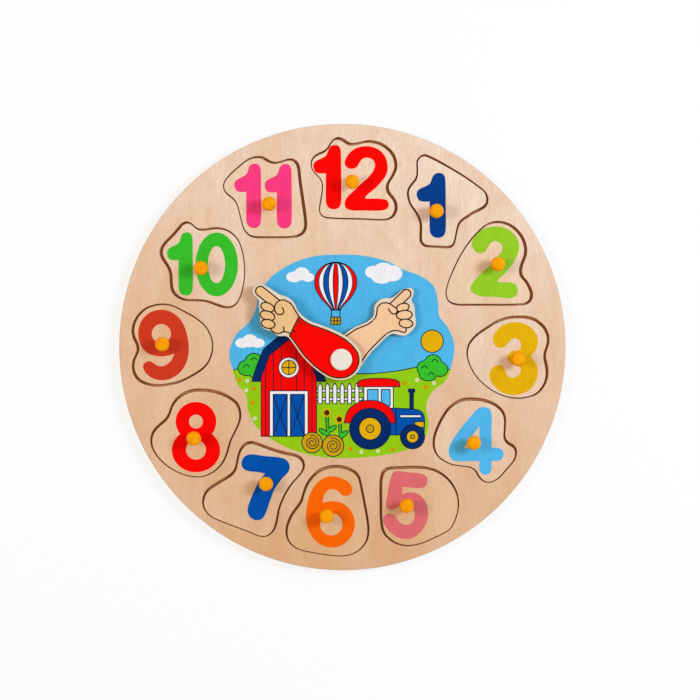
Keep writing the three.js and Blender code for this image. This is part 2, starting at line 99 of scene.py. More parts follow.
def add_node(tree: NodeTree, kind: str, inputs: dict | None = None, **settings: object) -> Node:
    """Adds a node with its settings and links.

    Args:
        tree: The tree that gets the node.
        kind: The node's type.
        inputs: Value of each input, by name or number, or the socket or node that it is linked to.
        settings: The node's own settings.

    Returns:
        The new node.
    """
    node = tree.nodes.new(kind)
    for name, value in settings.items():
        setattr(node, name, value)
    for key, value in (inputs or {}).items():
        source = value.outputs[0] if isinstance(value, Node) else value
        if isinstance(source, NodeSocket):
            tree.links.new(source, node.inputs[key])
        else:
            node.inputs[key].default_value = source
    return node


@cache
def extent(node: str) -> tuple[np.ndarray, float, float, float]:
    """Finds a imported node's middle in plan, half width, lowest level and highest level."""
    low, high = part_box(node)
    return np.array([low.x + high.x, low.y + high.y]) / 2, (high.x - low.x) / 2, low.z, high.z


def on_board(points: Plan) -> Plan:
    """Places points that are drawn in hundredths of the board's radius."""
    return points * (extent("front_panel")[1] * HUNDREDTH)


# Plans


def smooth_path(marks: Sequence[Mark], closed: bool = False, steps: int = 8) -> Plan:
    """Draws a centripetal spline through given marks.

    Args:
        marks: Points of the path. One with a third value is a sharp corner.
        closed: Whether the path returns to its first mark.
        steps: Points made for each span.

    Returns:
        The path's points, one row each.
    """
    spots = [np.array(mark[:2], float) for mark in marks]
    count = len(spots)
    sharp = [len(mark) > 2 or not (closed or 0 < i < count - 1) for i, mark in enumerate(marks)]
    points = []
    for i in range(count if closed else count - 1):
        start, end = spots[i], spots[(i + 1) % count]
        before = 2 * start - end if sharp[i] else spots[i - 1]
        after = 2 * end - start if sharp[(i + 1) % count] else spots[(i + 2) % count]
        rows = [before, start, end, after]
        knots = np.cumsum([0, *(math.sqrt(math.dist(a, b)) for a, b in pairwise(rows))])
        t = knots[1] + (knots[2] - knots[1]) * np.arange(steps)[:, None] / steps
        # Each layer blends neighbouring rows between a pair of knots
        for layer in (((0, 1), (1, 2), (2, 3)), ((0, 2), (1, 3)), ((1, 2),)):
            rows = [
                ((knots[high] - t) * rows[k] + (t - knots[low]) * rows[k + 1]) / (knots[high] - knots[low])
                for k, (low, high) in enumerate(layer)
            ]
        points.append(rows[0])
    path = np.concatenate(points)
    return path if closed else np.vstack([path, spots[-1]])


def stroke(*marks: Mark) -> Plan:
    """Open line through marks."""
    return smooth_path(marks)


def curve(*marks: Mark) -> Plan:
    """Closed outline through marks."""
    return smooth_path(marks, closed=True)


def corners(*marks: Mark) -> Plan:
    """Closed outline with sharp corners."""
    return curve(*((x, y, 1) for x, y in marks))


def profile(
    shares: Sequence[Mark], radius: float, height: float, base: float = 0.0, steps: int = 8
) -> Plan:
    """Draws a turned profile through shares of a radius and of a height, from a base up."""
    return smooth_path([(r * radius, base + z * height) for r, z in shares], steps=steps)


def polar(angles: np.ndarray) -> Plan:
    """Points of the unit circle at some angles."""
    return np.column_stack([np.cos(angles), np.sin(angles)])


def turned(points: Plan, degrees: float) -> Plan:
    """Turns points anticlockwise about the origin."""
    c, s = polar(np.radians([degrees]))[0]
    return points @ np.array([[c, s], [-s, c]])


def circle(centre: Sequence[float], radius: float, sides: int = 48) -> Plan:
    """Round outline."""
    return centre + radius * polar(np.arange(sides) * 2 * math.pi / sides)


def oval(x: float, y: float, wide: float, high: float, tilt: float = 0.0, sides: int = 64) -> Plan:
    """Oval outline about a middle, from its two half widths and its tilt in degrees."""
    return (x, y) + turned(circle((0, 0), 1, sides) * (wide, high), tilt)


def anticlockwise(outline: Plan) -> Plan:
    """Reverses an outline that runs clockwise."""
    x, y = outline.T
    return outline if np.sum(x * np.roll(y, -1) - y * np.roll(x, -1)) > 0 else outline[::-1]


def trued(outline: Plan, steps: int = 6, circle_steps: int = 4) -> Plan:
    """Finds the true curve that evenly spaced corners stand for.

    Args:
        outline: The corners.
        steps: Points made for each of them.
        circle_steps: Points made for each of them on a circle.

    Returns:
        A circle where the corners lie on one, or else the smooth curve through them.
    """
    middle = outline.mean(axis=0)
    radii = np.linalg.norm(outline - middle, axis=1)
    count = len(outline)
    if np.ptp(radii) < ROUND_WITHIN:
        return circle(middle, radii.mean(), circle_steps * count)
    # Control points of the even cubic B-spline that passes through every corner
    gain = (2 + np.cos(2 * math.pi * np.arange(count) / count)) / 3
    control = np.fft.ifft(np.fft.fft(outline, axis=0) / gain[:, None], axis=0).real
    t = np.arange(steps) / steps
    weights = np.array([(1 - t) ** 3, 3 * t**3 - 6 * t**2 + 4, -3 * t**3 + 3 * t**2 + 3 * t + 1, t**3]) / 6
    shifted = np.array([np.roll(control, shift, axis=0) for shift in (1, 0, -1, -2)])
    return np.einsum("ki,knj->nij", weights, shifted).reshape(-1, 2)


def inset(outline: Plan, distance: float) -> Plan:
    """Moves an outline inwards.

    Args:
        outline: The outline, anticlockwise.
        distance: How far, or less than zero for outwards.

    Returns:
        The moved outline.
    """
    along = np.roll(outline, -1, axis=0) - np.roll(outline, 1, axis=0)
    along /= np.linalg.norm(along, axis=1)[:, None]
    return outline + distance * np.column_stack([-along[:, 1], along[:, 0]])


def finder(points: Plan) -> KDTree:
    """Makes a search tree.

    Args:
        points: Points in plan.

    Returns:
        The tree, which finds the nearest of them.
    """
    tree = KDTree(len(points))
    for i, (x, y) in enumerate(points):
        tree.insert((x, y, 0), i)
    tree.balance()
    return tree


def margin(outline: Plan, distance: float) -> Plan:
    """Insets an outline by more than its tightest bends have, with no loops in the corners."""
    tree = finder(outline)
    return np.array([p for p in inset(outline, distance) if tree.find((*p, 0))[2] > CLEAR_SHARE * distance])


def border(faces: Iterable[tuple]) -> list[tuple]:
    """Finds the edges round the outside of a sheet, from the corners of each face."""
    edges = {edge for face in faces for edge in zip(face, (*face[1:], face[0]))}
    return [(a, b) for a, b in edges if (b, a) not in edges]


def rims(faces: Iterable[tuple]) -> list[list]:
    """Joins the edges round the outside of a sheet.

    Args:
        faces: The corners of each face.

    Returns:
        The corners of each closed rim, in order.
    """
    follow = dict(border(faces))
    found = []
    while follow:
        start, corner = follow.popitem()
        rim = [start]
        while corner != start:
            rim.append(corner)
            corner = follow.pop(corner)
        found.append(rim)
    return found


def outlines(node: str) -> list[Plan]:
    """Finds the outlines of a flat node's upper face.

    Args:
        node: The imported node.

    Returns:
        The true curves, anticlockwise, the largest first.
    """
    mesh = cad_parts[node].data
    top = round(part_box(node)[1].z * MICROMETRES)
    spots = [tuple(round(v * MICROMETRES) for v in vertex.co) for vertex in mesh.vertices]
    faces = [tuple(spots[i] for i in face.vertices) for face in mesh.polygons]
    flat = [face for face in faces if all(abs(spot[2] - top) < FLAT_WITHIN for spot in face)]
    loops = [trued(anticlockwise(np.array(rim, float)[:, :2] / MICROMETRES)) for rim in rims(flat)]
    return sorted(loops, key=lambda loop: -np.ptp(loop[:, 0]))


def evenly(path: Plan, closed: bool) -> Plan:
    """Spaces a path's points evenly.

    Args:
        path: The path's points.
        closed: Whether it returns to its first point.

    Returns:
        The new points, about a line's step apart.
    """
    rows = np.vstack([path, path[:1]]) if closed else path
    along = np.concatenate([[0], np.cumsum(np.linalg.norm(np.diff(rows, axis=0), axis=1))])
    spots = np.linspace(0, along[-1], max(3, round(along[-1] / LINE_STEP)), endpoint=not closed)
    return np.column_stack([np.interp(spots, along, rows[:, k]) for k in range(2)])


def inside(points: Plan, outline: Plan) -> np.ndarray:
    """Tells which points lie inside an outline.

    Args:
        points: The points.
        outline: The outline.

    Returns:
        Whether each point is inside.
    """
    x, y = points[:, :1], points[:, 1:]
    (x0, y0), (x1, y1) = outline.T, np.roll(outline, -1, axis=0).T
    rise = np.where(y1 == y0, 1, y1 - y0)
    crosses = ((y0 > y) != (y1 > y)) & (x < x0 + (y - y0) * (x1 - x0) / rise)
    return crosses.sum(axis=1) % 2 == 1


def visible(path: Plan, closed: bool, covers: Sequence[Plan]) -> list[tuple[Plan, bool]]:
    """Finds the runs of a line that later ink leaves in sight.

    Args:
        path: The line's points.
        closed: Whether it returns to its first point.
        covers: Outlines of the later ink.

    Returns:
        The points of each run, and whether it is closed.
    """
    points = evenly(path, closed)
    hidden = np.zeros(len(points), bool)
    for cover in covers:
        hidden |= inside(points, cover)
    if not hidden.any():
        return [(points, closed)]
    if closed:
        first = int(np.argmax(hidden))
        points, hidden = np.roll(points, -first, axis=0), np.roll(hidden, -first)
    turns = np.flatnonzero(np.diff(hidden)) + 1
    runs = zip(np.split(points, turns), np.split(hidden, turns))
    return [(run, False) for run, out in runs if not out[0] and len(run) > 2]


def region(adds: Sequence[Plan], cuts: Sequence[Plan]) -> tuple[Plan, list[tuple[int, ...]], list[int]]:
    """Covers the union of some outlines, less others, with triangles.

    Args:
        adds: Outlines that are filled, each laid over those before it.
        cuts: Outlines that are left out.

    Returns:
        The corners, the triangles by corner number, anticlockwise, and the top outline of each.
    """
    loops = [*adds, *cuts]
    ends = np.cumsum([0, *(len(loop) for loop in loops)])
    spots = [Vector(point) for loop in loops for point in loop / MM]
    faces = [list(range(a, b)) for a, b in pairwise(ends)]
    inside_only, nearness = 1, 1e-5
    found, _, triangles, _, _, origins = delaunay_2d_cdt(spots, [], faces, inside_only, nearness)
    kept = [(t, max(o)) for t, o in zip(triangles, origins) if o and max(o) < len(adds)]
    used = sorted({i for triangle, _ in kept for i in triangle})
    place = {i: k for k, i in enumerate(used)}
    points = np.array([found[i][:2] for i in used]) * MM
    return points, [tuple(place[i] for i in triangle) for triangle, _ in kept], [top for _, top in kept]


def trimmed(outline: Plan, cut: Plan) -> Plan:
    """Takes one outline away from another, and returns the largest piece's outline."""
    points, triangles, _ = region([outline], [cut])
    return anticlockwise(max((points[rim] for rim in rims(triangles)), key=len))


def eased(outline: Plan, low: float, high: float, ease: float, hole: bool = False) -> Rings:
    """Makes the rings of a wall whose lower and upper edges are rounded over.

    Args:
        outline: The wall's outline.
        low: Height of the lower face.
        high: Height of the upper face.
        ease: Radius of the rounding.
        hole: Whether the wall goes round a hole.

    Returns:
        Outlines and heights, from low to high.
    """
    inwards = -ease if hole else ease
    rings = [(inset(outline, inwards * (1 - math.sin(b))), ease * (1 - math.cos(b))) for b in BENDS]
    return [(ring, low + rise) for ring, rise in rings] + [(ring, high - rise) for ring, rise in rings[::-1]]


class Shell:
    """Gathers the faces of one piece, each with its material slot, and makes it an object."""

    def __init__(self, name: str) -> None:
        """Starts an empty piece.

        Args:
            name: Its name.
        """
        self.name = name
        self.spots: list[Mark] = []
        self.faces: list[tuple[tuple[int, ...], int, bool]] = []

    def level(self, points: Plan, height: float) -> int:
        """Adds corners at one height and returns the number of the first."""
        self.spots.extend((x, y, height) for x, y in points)
        return len(self.spots) - len(points)

    def wall(self, rings: Rings, slots: Sequence[int], hole: bool = False) -> None:
        """Adds a wall.

        Args:
            rings: Outlines with as many corners each, and their heights, from low to high.
            slots: Slot of each band between two rings.
            hole: Whether the wall goes round a hole.
        """
        count = len(rings[0][0])
        for (low, high), slot in zip(pairwise([self.level(*ring) for ring in rings]), slots):
            for i in range(count):
                j = (i + 1) % count
                quad = (low + i, low + j, high + j, high + i)
                self.faces.append((quad[::-1] if hole else quad, slot, True))

    def sheet(
        self, adds: Sequence[Plan], cuts: Sequence[Plan], height: float, slot: int, up: bool = True
    ) -> None:
        """Adds a flat face.

        Args:
            adds: Outlines that are filled.
            cuts: Outlines that are left out.
            height: The face's height.
            slot: Its slot.
            up: Whether it faces up.
        """
        points, triangles, _ = region(adds, cuts)
        first = self.level(points, height)
        for triangle in triangles:
            face = tuple(first + i for i in triangle)
            self.faces.append((face if up else face[::-1], slot, False))

    def slab(
        self, outer: Rings, bands: Sequence[int], holes: Sequence[Rings], hole_bands: Sequence[int],
        floors: Sequence[Plan] = (),
    ) -> None:
        """Adds a plate: its outer wall, the walls of its holes and both faces.

        Args:
            outer: The outer wall.
            bands: Slots of its bands.
            holes: The wall of each hole.
            hole_bands: Slots of their bands.
            floors: Outlines that are left out of the upper face, besides the holes.
        """
        self.wall(outer, bands)
        for hole in holes:
            self.wall(hole, hole_bands, hole=True)
        self.sheet([outer[0][0]], [hole[0][0] for hole in holes], outer[0][1], 0, up=False)
        self.sheet([outer[-1][0]], [*(hole[-1][0] for hole in holes), *floors], outer[-1][1], 0)

    def film(self, adds: Sequence[Plan], cuts: Sequence[Plan], face: float, slots: Sequence[int]) -> None:
        """Adds a film of ink on a flat face, closed all round.

        Args:
            adds: Outlines that are filled, each laid over those before it.
            cuts: Outlines that are left out.
            face: Height of the wood's face.
            slots: Slot of each filled outline.
        """
        points, triangles, tops = region(adds, cuts)
        bottom = self.level(points, face - INK_THICKNESS)
        top = self.level(points, face + INK_THICKNESS)
        for triangle, number in zip(triangles, tops):
            self.faces.append((tuple(top + i for i in triangle), slots[number], False))
            self.faces.append((tuple(bottom + i for i in reversed(triangle)), slots[number], False))
        for a, b in border(triangles):
            self.faces.append(((bottom + a, bottom + b, top + b, top + a), slots[0], False))

    def build(self, *materials: Material) -> Object:
        """Welds the faces into one object.

        Args:
            materials: Its materials, by slot.

        Returns:
            The object.
        """
        mesh = bpy.data.meshes.new(self.name)
        faces, slots, rounded = zip(*self.faces)
        mesh.from_pydata(self.spots, [], faces)
        mesh.polygons.foreach_set("material_index", slots)
        mesh.polygons.foreach_set("use_smooth", rounded)
        for material in materials:
            mesh.materials.append(material)
        work = bmesh.new()
        work.from_mesh(mesh)
        bmesh.ops.remove_doubles(work, verts=work.verts, dist=WELD)
        work.to_mesh(mesh)
        work.free()
        return stand(mesh)


def stand(data: Mesh | Camera | Light) -> Object:
    """Puts a mesh, a camera or a light in the scene.

    Args:
        data: What the object shows.

    Returns:
        The object, under the same name.
    """
    piece = bpy.data.objects.new(data.name, data)
    bpy.context.scene.collection.objects.link(piece)
    return piece


def settle(piece: Object, body: str, slot: str, *nodes: str) -> None:
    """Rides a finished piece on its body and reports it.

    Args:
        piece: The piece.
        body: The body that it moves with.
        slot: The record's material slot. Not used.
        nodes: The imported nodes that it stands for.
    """
    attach(piece, body)
    if nodes:
        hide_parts(*nodes)
    log.info("%s on %s: %d faces", piece.name, body, len(piece.data.polygons))


# Geometry Nodes


def new_tree(name: str, sizes: dict[str, str]) -> tuple[NodeTree, Sequence[NodeSocket]]:
    """Starts a tree with its named inputs.

    Args:
        name: The tree's name.
        sizes: Kind of each input, besides Geometry and Finish.

    Returns:
        The tree and the sockets that give its inputs.
    """
    tree = bpy.data.node_groups.new(name, "GeometryNodeTree")
    for label, kind in {"Geometry": "Geometry", **sizes, "Finish": "Material"}.items():
        tree.interface.new_socket(label, in_out="INPUT", socket_type=f"NodeSocket{kind}")
    tree.interface.new_socket("Geometry", in_out="OUTPUT", socket_type="NodeSocketGeometry")
    return tree, add_node(tree, "NodeGroupInput").outputs


def end_tree(tree: NodeTree, given: Sequence[NodeSocket], shape: Node, eye: Node | None = None) -> NodeTree:
    """Ends a tree: instances made real, finish set, output linked.

    Args:
        tree: The tree.
        given: Its inputs.
        shape: The node that makes its geometry.
        eye: The node that picks the faces with a finish of their own, where there are any.

    Returns:
        The tree.
    """
    real = add_node(tree, "GeometryNodeRealizeInstances", {0: shape})
    shape = add_node(tree, "GeometryNodeSetMaterial", {0: real, "Material": given["Finish"]})
    if eye:
        picked = {0: shape, "Selection": eye, "Material": given["Eye"]}
        shape = add_node(tree, "GeometryNodeSetMaterial", picked)
    add_node(tree, "NodeGroupOutput", {0: shape})
    return tree


def lathe_tree() -> NodeTree:
    """Builds the tree that turns a profile, its points in X and Z, about an upright axis.

    Returns:
        The tree.
    """
    tree, given = new_tree("lathe", {"Sides": "Int", "Axis": "Vector"})
    size = add_node(tree, "GeometryNodeAttributeDomainSize", {0: given["Geometry"]}, component="MESH")
    rows = size.outputs["Point Count"]
    around = add_node(tree, "FunctionNodeIntegerMath", {0: given["Sides"], 1: 1}, operation="ADD")
    grid = add_node(tree, "GeometryNodeMeshGrid", {"Vertices X": around, "Vertices Y": rows})
    # The grid's points run column by column, so an index gives its row and its step round the axis
    index = add_node(tree, "GeometryNodeInputIndex")
    row = add_node(tree, "FunctionNodeIntegerMath", {0: index, 1: rows}, operation="MODULO")
    step = add_node(tree, "FunctionNodeIntegerMath", {0: index, 1: rows}, operation="DIVIDE")
    spot = {"Geometry": given["Geometry"], "Value": add_node(tree, "GeometryNodeInputPosition"), "Index": row}
    profile = add_node(tree, "GeometryNodeSampleIndex", spot, data_type="FLOAT_VECTOR", domain="POINT")
    share = add_node(tree, "ShaderNodeMath", {0: step, 1: given["Sides"]}, operation="DIVIDE")
    angle = add_node(tree, "ShaderNodeMath", {0: share, 1: 2 * math.pi}, operation="MULTIPLY")
    swing = {"Vector": profile, "Angle": angle}
    swung = add_node(tree, "ShaderNodeVectorRotate", swing, rotation_type="Z_AXIS")
    placed = add_node(tree, "ShaderNodeVectorMath", {0: swung, 1: given["Axis"]})
    shape = add_node(tree, "GeometryNodeSetPosition", {"Geometry": grid, "Position": placed})
    welded = add_node(tree, "GeometryNodeMergeByDistance", {"Geometry": shape, "Distance": WELD})
    return end_tree(tree, given, add_node(tree, "GeometryNodeSetShadeSmooth", {0: welded}))


def cross_recess_tree(lathe: NodeTree) -> NodeTree:
    """Builds the tree that turns a screw and sinks a cross in its head, which points down.

    Args:
        lathe: The tree that turns.

    Returns:
        The tree.
    """
    tree, given = new_tree("cross_recess_screw", {"Sides": "Int", "Axis": "Vector", "Cross": "Vector"})
    blank = {label: given[label] for label in ("Geometry", "Sides", "Axis", "Finish")}
    shape = add_node(tree, "GeometryNodeGroup", blank, node_tree=lathe)
    for quarter in range(2):
        slab = add_node(tree, "GeometryNodeMeshCube", {"Size": given["Cross"]})
        place = {0: slab, "Translation": given["Axis"], "Rotation": (0, 0, math.pi / 2 * quarter)}
        both = {0: shape, 1: add_node(tree, "GeometryNodeTransform", place)}
        shape = add_node(tree, "GeometryNodeMeshBoolean", both, operation="DIFFERENCE", solver="MANIFOLD")
    return end_tree(tree, given, shape)


def ink_line_tree() -> NodeTree:
    """Builds the tree that lays a flat line of ink along each path.

    Returns:
        The tree.
    """
    tree, given = new_tree("ink_line", {"Width": "Float", "Thickness": "Float"})
    path = add_node(tree, "GeometryNodeMeshToCurve", {"Mesh": given["Geometry"]})
    level = add_node(tree, "GeometryNodeSetCurveNormal", {"Curve": path}, mode="Z_UP")
    size = {"Width": given["Width"], "Height": given["Thickness"]}
    section = add_node(tree, "GeometryNodeCurvePrimitiveQuadrilateral", size)
    sweep = {"Curve": level, "Profile Curve": section, "Fill Caps": True}
    line = add_node(tree, "GeometryNodeCurveToMesh", sweep)
    flat = add_node(tree, "GeometryNodeSetShadeSmooth", {"Geometry": line, "Shade Smooth": False})
    return end_tree(tree, given, flat)


def bloom_tree() -> NodeTree:
    """Builds the tree that prints a flower at each point: a ring of round petals and an eye.

    Returns:
        The tree.
    """
    sizes = dict.fromkeys(("Ring", "Radius", "Thickness"), "Float")
    tree, given = new_tree("blooms", {"Petals": "Int", "Eye": "Material", **sizes})
    petal_sides, eye_sides, eye_radius_share, eye_height_share = 16, 20, 0.72, 1.3
    size = {"Vertices": petal_sides, "Radius": given["Radius"], "Depth": given["Thickness"]}
    petal = add_node(tree, "GeometryNodeMeshCylinder", size)
    ring = add_node(tree, "GeometryNodeMeshCircle", {"Vertices": given["Petals"], "Radius": given["Ring"]})
    petals = add_node(tree, "GeometryNodeInstanceOnPoints", {"Points": ring, "Instance": petal})
    wide = add_node(tree, "ShaderNodeMath", {0: given["Ring"], 1: eye_radius_share}, operation="MULTIPLY")
    rise = {0: given["Thickness"], 1: eye_height_share}
    thick = add_node(tree, "ShaderNodeMath", rise, operation="MULTIPLY")
    eye = add_node(tree, "GeometryNodeMeshCylinder", {"Vertices": eye_sides, "Radius": wide, "Depth": thick})
    mark = {"Geometry": eye, "Name": "eye", "Value": True}
    marked = add_node(tree, "GeometryNodeStoreNamedAttribute", mark, data_type="BOOLEAN", domain="FACE")
    flower = add_node(tree, "GeometryNodeJoinGeometry", {0: petals})
    tree.links.new(marked.outputs[0], flower.inputs[0])
    spread = add_node(tree, "GeometryNodeInstanceOnPoints", {"Points": given["Geometry"], "Instance": flower})
    picked = add_node(tree, "GeometryNodeInputNamedAttribute", {"Name": "eye"}, data_type="BOOLEAN")
    return end_tree(tree, given, spread, picked)


# Finishes


class Ink(Enum):
    """Colours of the screen print, as sRGB."""

    RED = "fa0300"
    PINK = "f73c80"
    GREEN = "37be2b"
    BRICK = "cf3a20"
    BLUE = "0050aa"
    ORANGE = "f96602"
    ROSE = "dc6a6e"
    SKY = "50b5e6"
    YELLOW = "e2ae06"
    LIME = "94c926"
    NAVY = "043c86"
    DEEP_NAVY = "022a66"
    GRASS = "93c812"
    WHITE = "f0eef0"
    OCHRE = "cca008"
    TAN = "ebbf87"
    SKIN = "f5c69b"
    BROWN_LINE = "45260c"
    DARK_LINE = "161a2e"


@dataclass(frozen=True)
class Marks:
    """Soft marks: size along each axis, noise levels where one begins and is full, strength and seed."""

    size_mm: Mark
    span: Mark
    amount: float = 1.0
    seed: float = 0.0
    detail: float = 2.5

    def add(self, tree: NodeTree, place: NodeSocket) -> Node:
        """Scatters the marks over a surface.

        Args:
            tree: The material's tree.
            place: Coordinates in metres.

        Returns:
            The node that gives their strength.
        """
        scale = [1 / (size * MM) for size in self.size_mm]
        moved = {"Vector": place, "Location": (self.seed,) * 3, "Scale": scale}
        spots = {"Vector": add_node(tree, "ShaderNodeMapping", moved), "Scale": 1.0, "Detail": self.detail}
        noise = add_node(tree, "ShaderNodeTexNoise", spots)
        limits = {"Value": noise, "From Min": self.span[0], "From Max": self.span[1], "To Max": self.amount}
        return add_node(tree, "ShaderNodeMapRange", limits)


Tints = Sequence[tuple[Marks, str]]
Layers = list[tuple[Node, str]]


@dataclass(frozen=True)
class Finish:
    """A finish: tints of other colours laid over a base colour, and a relief."""

    name: str
    roughness: float = 0.5
    specular: float = 0.3
    metallic: float = 0.0
    base: str = "ffffff"
    tints: Tints = ()
    relief: Marks = Marks((1, 1, 1), (0.3, 0.7))
    depth_mm: float = 0.01

    def material(self) -> Material:
        """Makes the material, on coordinates in metres.

        Returns:
            The material.
        """
        made = bpy.data.materials.new(self.name)
        made.use_nodes = True
        tree = made.node_tree
        place = add_node(tree, "ShaderNodeTexCoord").outputs["Object"]
        tone = self.ground(tree, place)
        for strength, colour in self.layers(tree, place):
            # The Mix node takes its two colours at sockets 6 and 7 and gives the mixed one at 2
            mix = {0: strength, 6: tone, 7: linear(colour)}
            tone = add_node(tree, "ShaderNodeMix", mix, data_type="RGBA").outputs[2]
        height = {"Height": self.height(tree, place), "Distance": self.depth_mm * MM}
        shader = tree.nodes["Principled BSDF"]
        shader.inputs["Roughness"].default_value = self.roughness
        shader.inputs["Specular IOR Level"].default_value = self.specular
        shader.inputs["Metallic"].default_value = self.metallic
        tree.links.new(tone, shader.inputs["Base Color"])
        tree.links.new(add_node(tree, "ShaderNodeBump", height).outputs[0], shader.inputs["Normal"])
        return made

    def ground(self, tree: NodeTree, place: NodeSocket) -> NodeSocket | Mark:
        """Gives the base colour."""
        return linear(self.base)

    def layers(self, tree: NodeTree, place: NodeSocket) -> Layers:
        """Adds the tints, from first to last."""
        return [(marks.add(tree, place), colour) for marks, colour in self.tints]

    def height(self, tree: NodeTree, place: NodeSocket) -> Node | NodeSocket:
        """Adds the height of the relief, from 0 to 1."""
        return self.relief.add(tree, place)


@dataclass(frozen=True)
class BirchVeneer(Finish):
    """Rotary-cut birch, sanded and sealed with one thin coat of matt lacquer.

    Pale and a little pink, clouded in soft patches of a centimetre or two. Its colour grows deeper,
    browner and a little yellower towards six o'clock and slightly towards nine: painted shade, a falloff
    of light laid into the wood. The fibre runs upright and hardly tells: faint streaks a millimetre or
    three wide, short fine pores and, rarely, a brown fleck. Pores are 0.1 mm wide on real birch and are
    drawn at 0.4 mm, so that they show. Hardly any gloss.
    """

    roughness: float = 0.62
    specular: float = 0.15
    base: str = "eed5c0"
    shade_and_cloud: str = "d9a87d"
    yellow: str = "e0be8f"
    rose: str = "e6b091"
    streak: str = "c4906a"
    fleck: str = "a06a3c"
    # Slope of the painted shade, per metre: the colour darkens towards six o'clock and a little towards nine
    painted_falloff: Mark = (-0.7, -2.9, 0.0)
    relief: Marks = Marks((0.4, 5, 0.4), (0.62, 0.78), 0.22, 3)
    depth_mm: float = 0.05

    def layers(self, tree: NodeTree, place: NodeSocket) -> Layers:
        """Adds the painted shade of a falloff of light, clouds, streaks, pores and flecks.

        Args:
            tree: The material's tree.
            place: Coordinates in metres.

        Returns:
            The strength and colour of each layer.
        """
        # Painted shade: a falloff of light towards six o'clock, laid in with the same colour as the clouds
        slope = {0: place, 1: self.painted_falloff}
        painted_falloff = add_node(tree, "ShaderNodeVectorMath", slope, operation="DOT_PRODUCT")
        cloud = Marks((26, 70, 26), (0.0, 1.0), seed=4).add(tree, place)
        both = {0: painted_falloff.outputs["Value"], 1: cloud}
        shade_and_cloud = add_node(tree, "ShaderNodeMath", both, operation="ADD", use_clamp=True)
        rest = (
            (Marks((11, 20, 11), (0.45, 0.75), 0.34, 9), self.yellow),
            (Marks((8, 15, 8), (0.5, 0.75), 0.3, 15), self.rose),
            (Marks((3.2, 60, 3.2), (0.45, 0.75), 0.1, 1), self.streak),
            (Marks((1.3, 8, 1.3), (0.42, 0.72), 0.2, 7), self.streak),
            (Marks((0.8, 3.2, 0.8), (0.45, 0.75), 0.16, 21), self.streak),
            (self.relief, self.fleck),
            (Marks((5, 9, 5), (0.74, 0.82), 0.35, 11), self.fleck),
        )
        return [(shade_and_cloud, self.shade_and_cloud), *((marks.add(tree, place), colour) for marks, colour in rest)]


@dataclass(frozen=True)
class PlyEdge(Finish):
    """The edge of three-ply birch, sanded or cut by laser.

    Two face plies with a darker core of end grain between them and a thin brown glue line at each
    joint. The laser leaves a browned skin over all of it, with fine upright ripples, and chars the edge
    where the beam went in.
    """

    roughness: float = 0.7
    specular: float = 0.15
    low_mm: float = 0.0
    thickness_mm: float = 5.0
    base: str = "cfae8c"
    core: str = "b08a62"
    glue: str = "6d4526"
    char: str = "f2ae7c"
    brown_band: str = "5c2a0a"
    scorch_mm: float = 0.4
    burnt: float = 0.0
    ripple_share: float = 0.75
    scorch_gain: float = 1.2
    core_span: Mark = (0.35, 0.65)
    seam: float = 0.02
    relief: Marks = Marks((0.5, 0.5, 6), (0.3, 0.75))
    depth_mm: float = 0.04

    def rise(self, tree: NodeTree, place: NodeSocket) -> Node:
        """Gives the share of the thickness that lies below a point.

        Args:
            tree: The material's tree.
            place: Coordinates in metres.

        Returns:
            The node that gives it.
        """
        z = add_node(tree, "ShaderNodeSeparateXYZ", {"Vector": place}).outputs["Z"]
        limits = {"From Min": self.low_mm * MM, "From Max": (self.low_mm + self.thickness_mm) * MM}
        return add_node(tree, "ShaderNodeMapRange", {"Value": z, **limits})

    def ground(self, tree: NodeTree, place: NodeSocket) -> NodeSocket:
        """Lays the plies by height.

        Args:
            tree: The material's tree.
            place: Coordinates in metres.

        Returns:
            Their colour.
        """
        plies = add_node(tree, "ShaderNodeValToRGB", {"Fac": self.rise(tree, place)})
        ramp = plies.color_ramp
        low, high = self.core_span
        ramp.elements[0].color = ramp.elements[1].color = linear(self.base)
        ramp.elements[1].position = high + 2 * self.seam
        lower = {low - 2 * self.seam: self.base, low - self.seam: self.glue, low: self.core}
        upper = {high: self.core, high + self.seam: self.glue}
        for position, colour in {**lower, **upper}.items():
            ramp.elements.new(position).color = linear(colour)
        return plies.outputs[0]

    def layers(self, tree: NodeTree, place: NodeSocket) -> Layers:
        """Adds wear, then the browned skin and the charred upper edge.

        Args:
            tree: The material's tree.
            place: Coordinates in metres.

        Returns:
            The strength and colour of each layer.
        """
        weathered = Marks((0.6, 0.6, 5), (0.4, 0.8), 0.3, 2).add(tree, place)
        ripple, begin = self.ripple_share * self.burnt, 1 - self.scorch_mm / self.thickness_mm
        skin = {"Value": self.relief.add(tree, place), "To Min": self.burnt, "To Max": ripple}
        burn = self.scorch_gain * self.burnt
        upper = {"Value": self.rise(tree, place), "From Min": begin, "To Max": burn}
        browned, charred = (add_node(tree, "ShaderNodeMapRange", limits) for limits in (skin, upper))
        return [(weathered, self.glue), (browned, self.char), (charred, self.brown_band)]


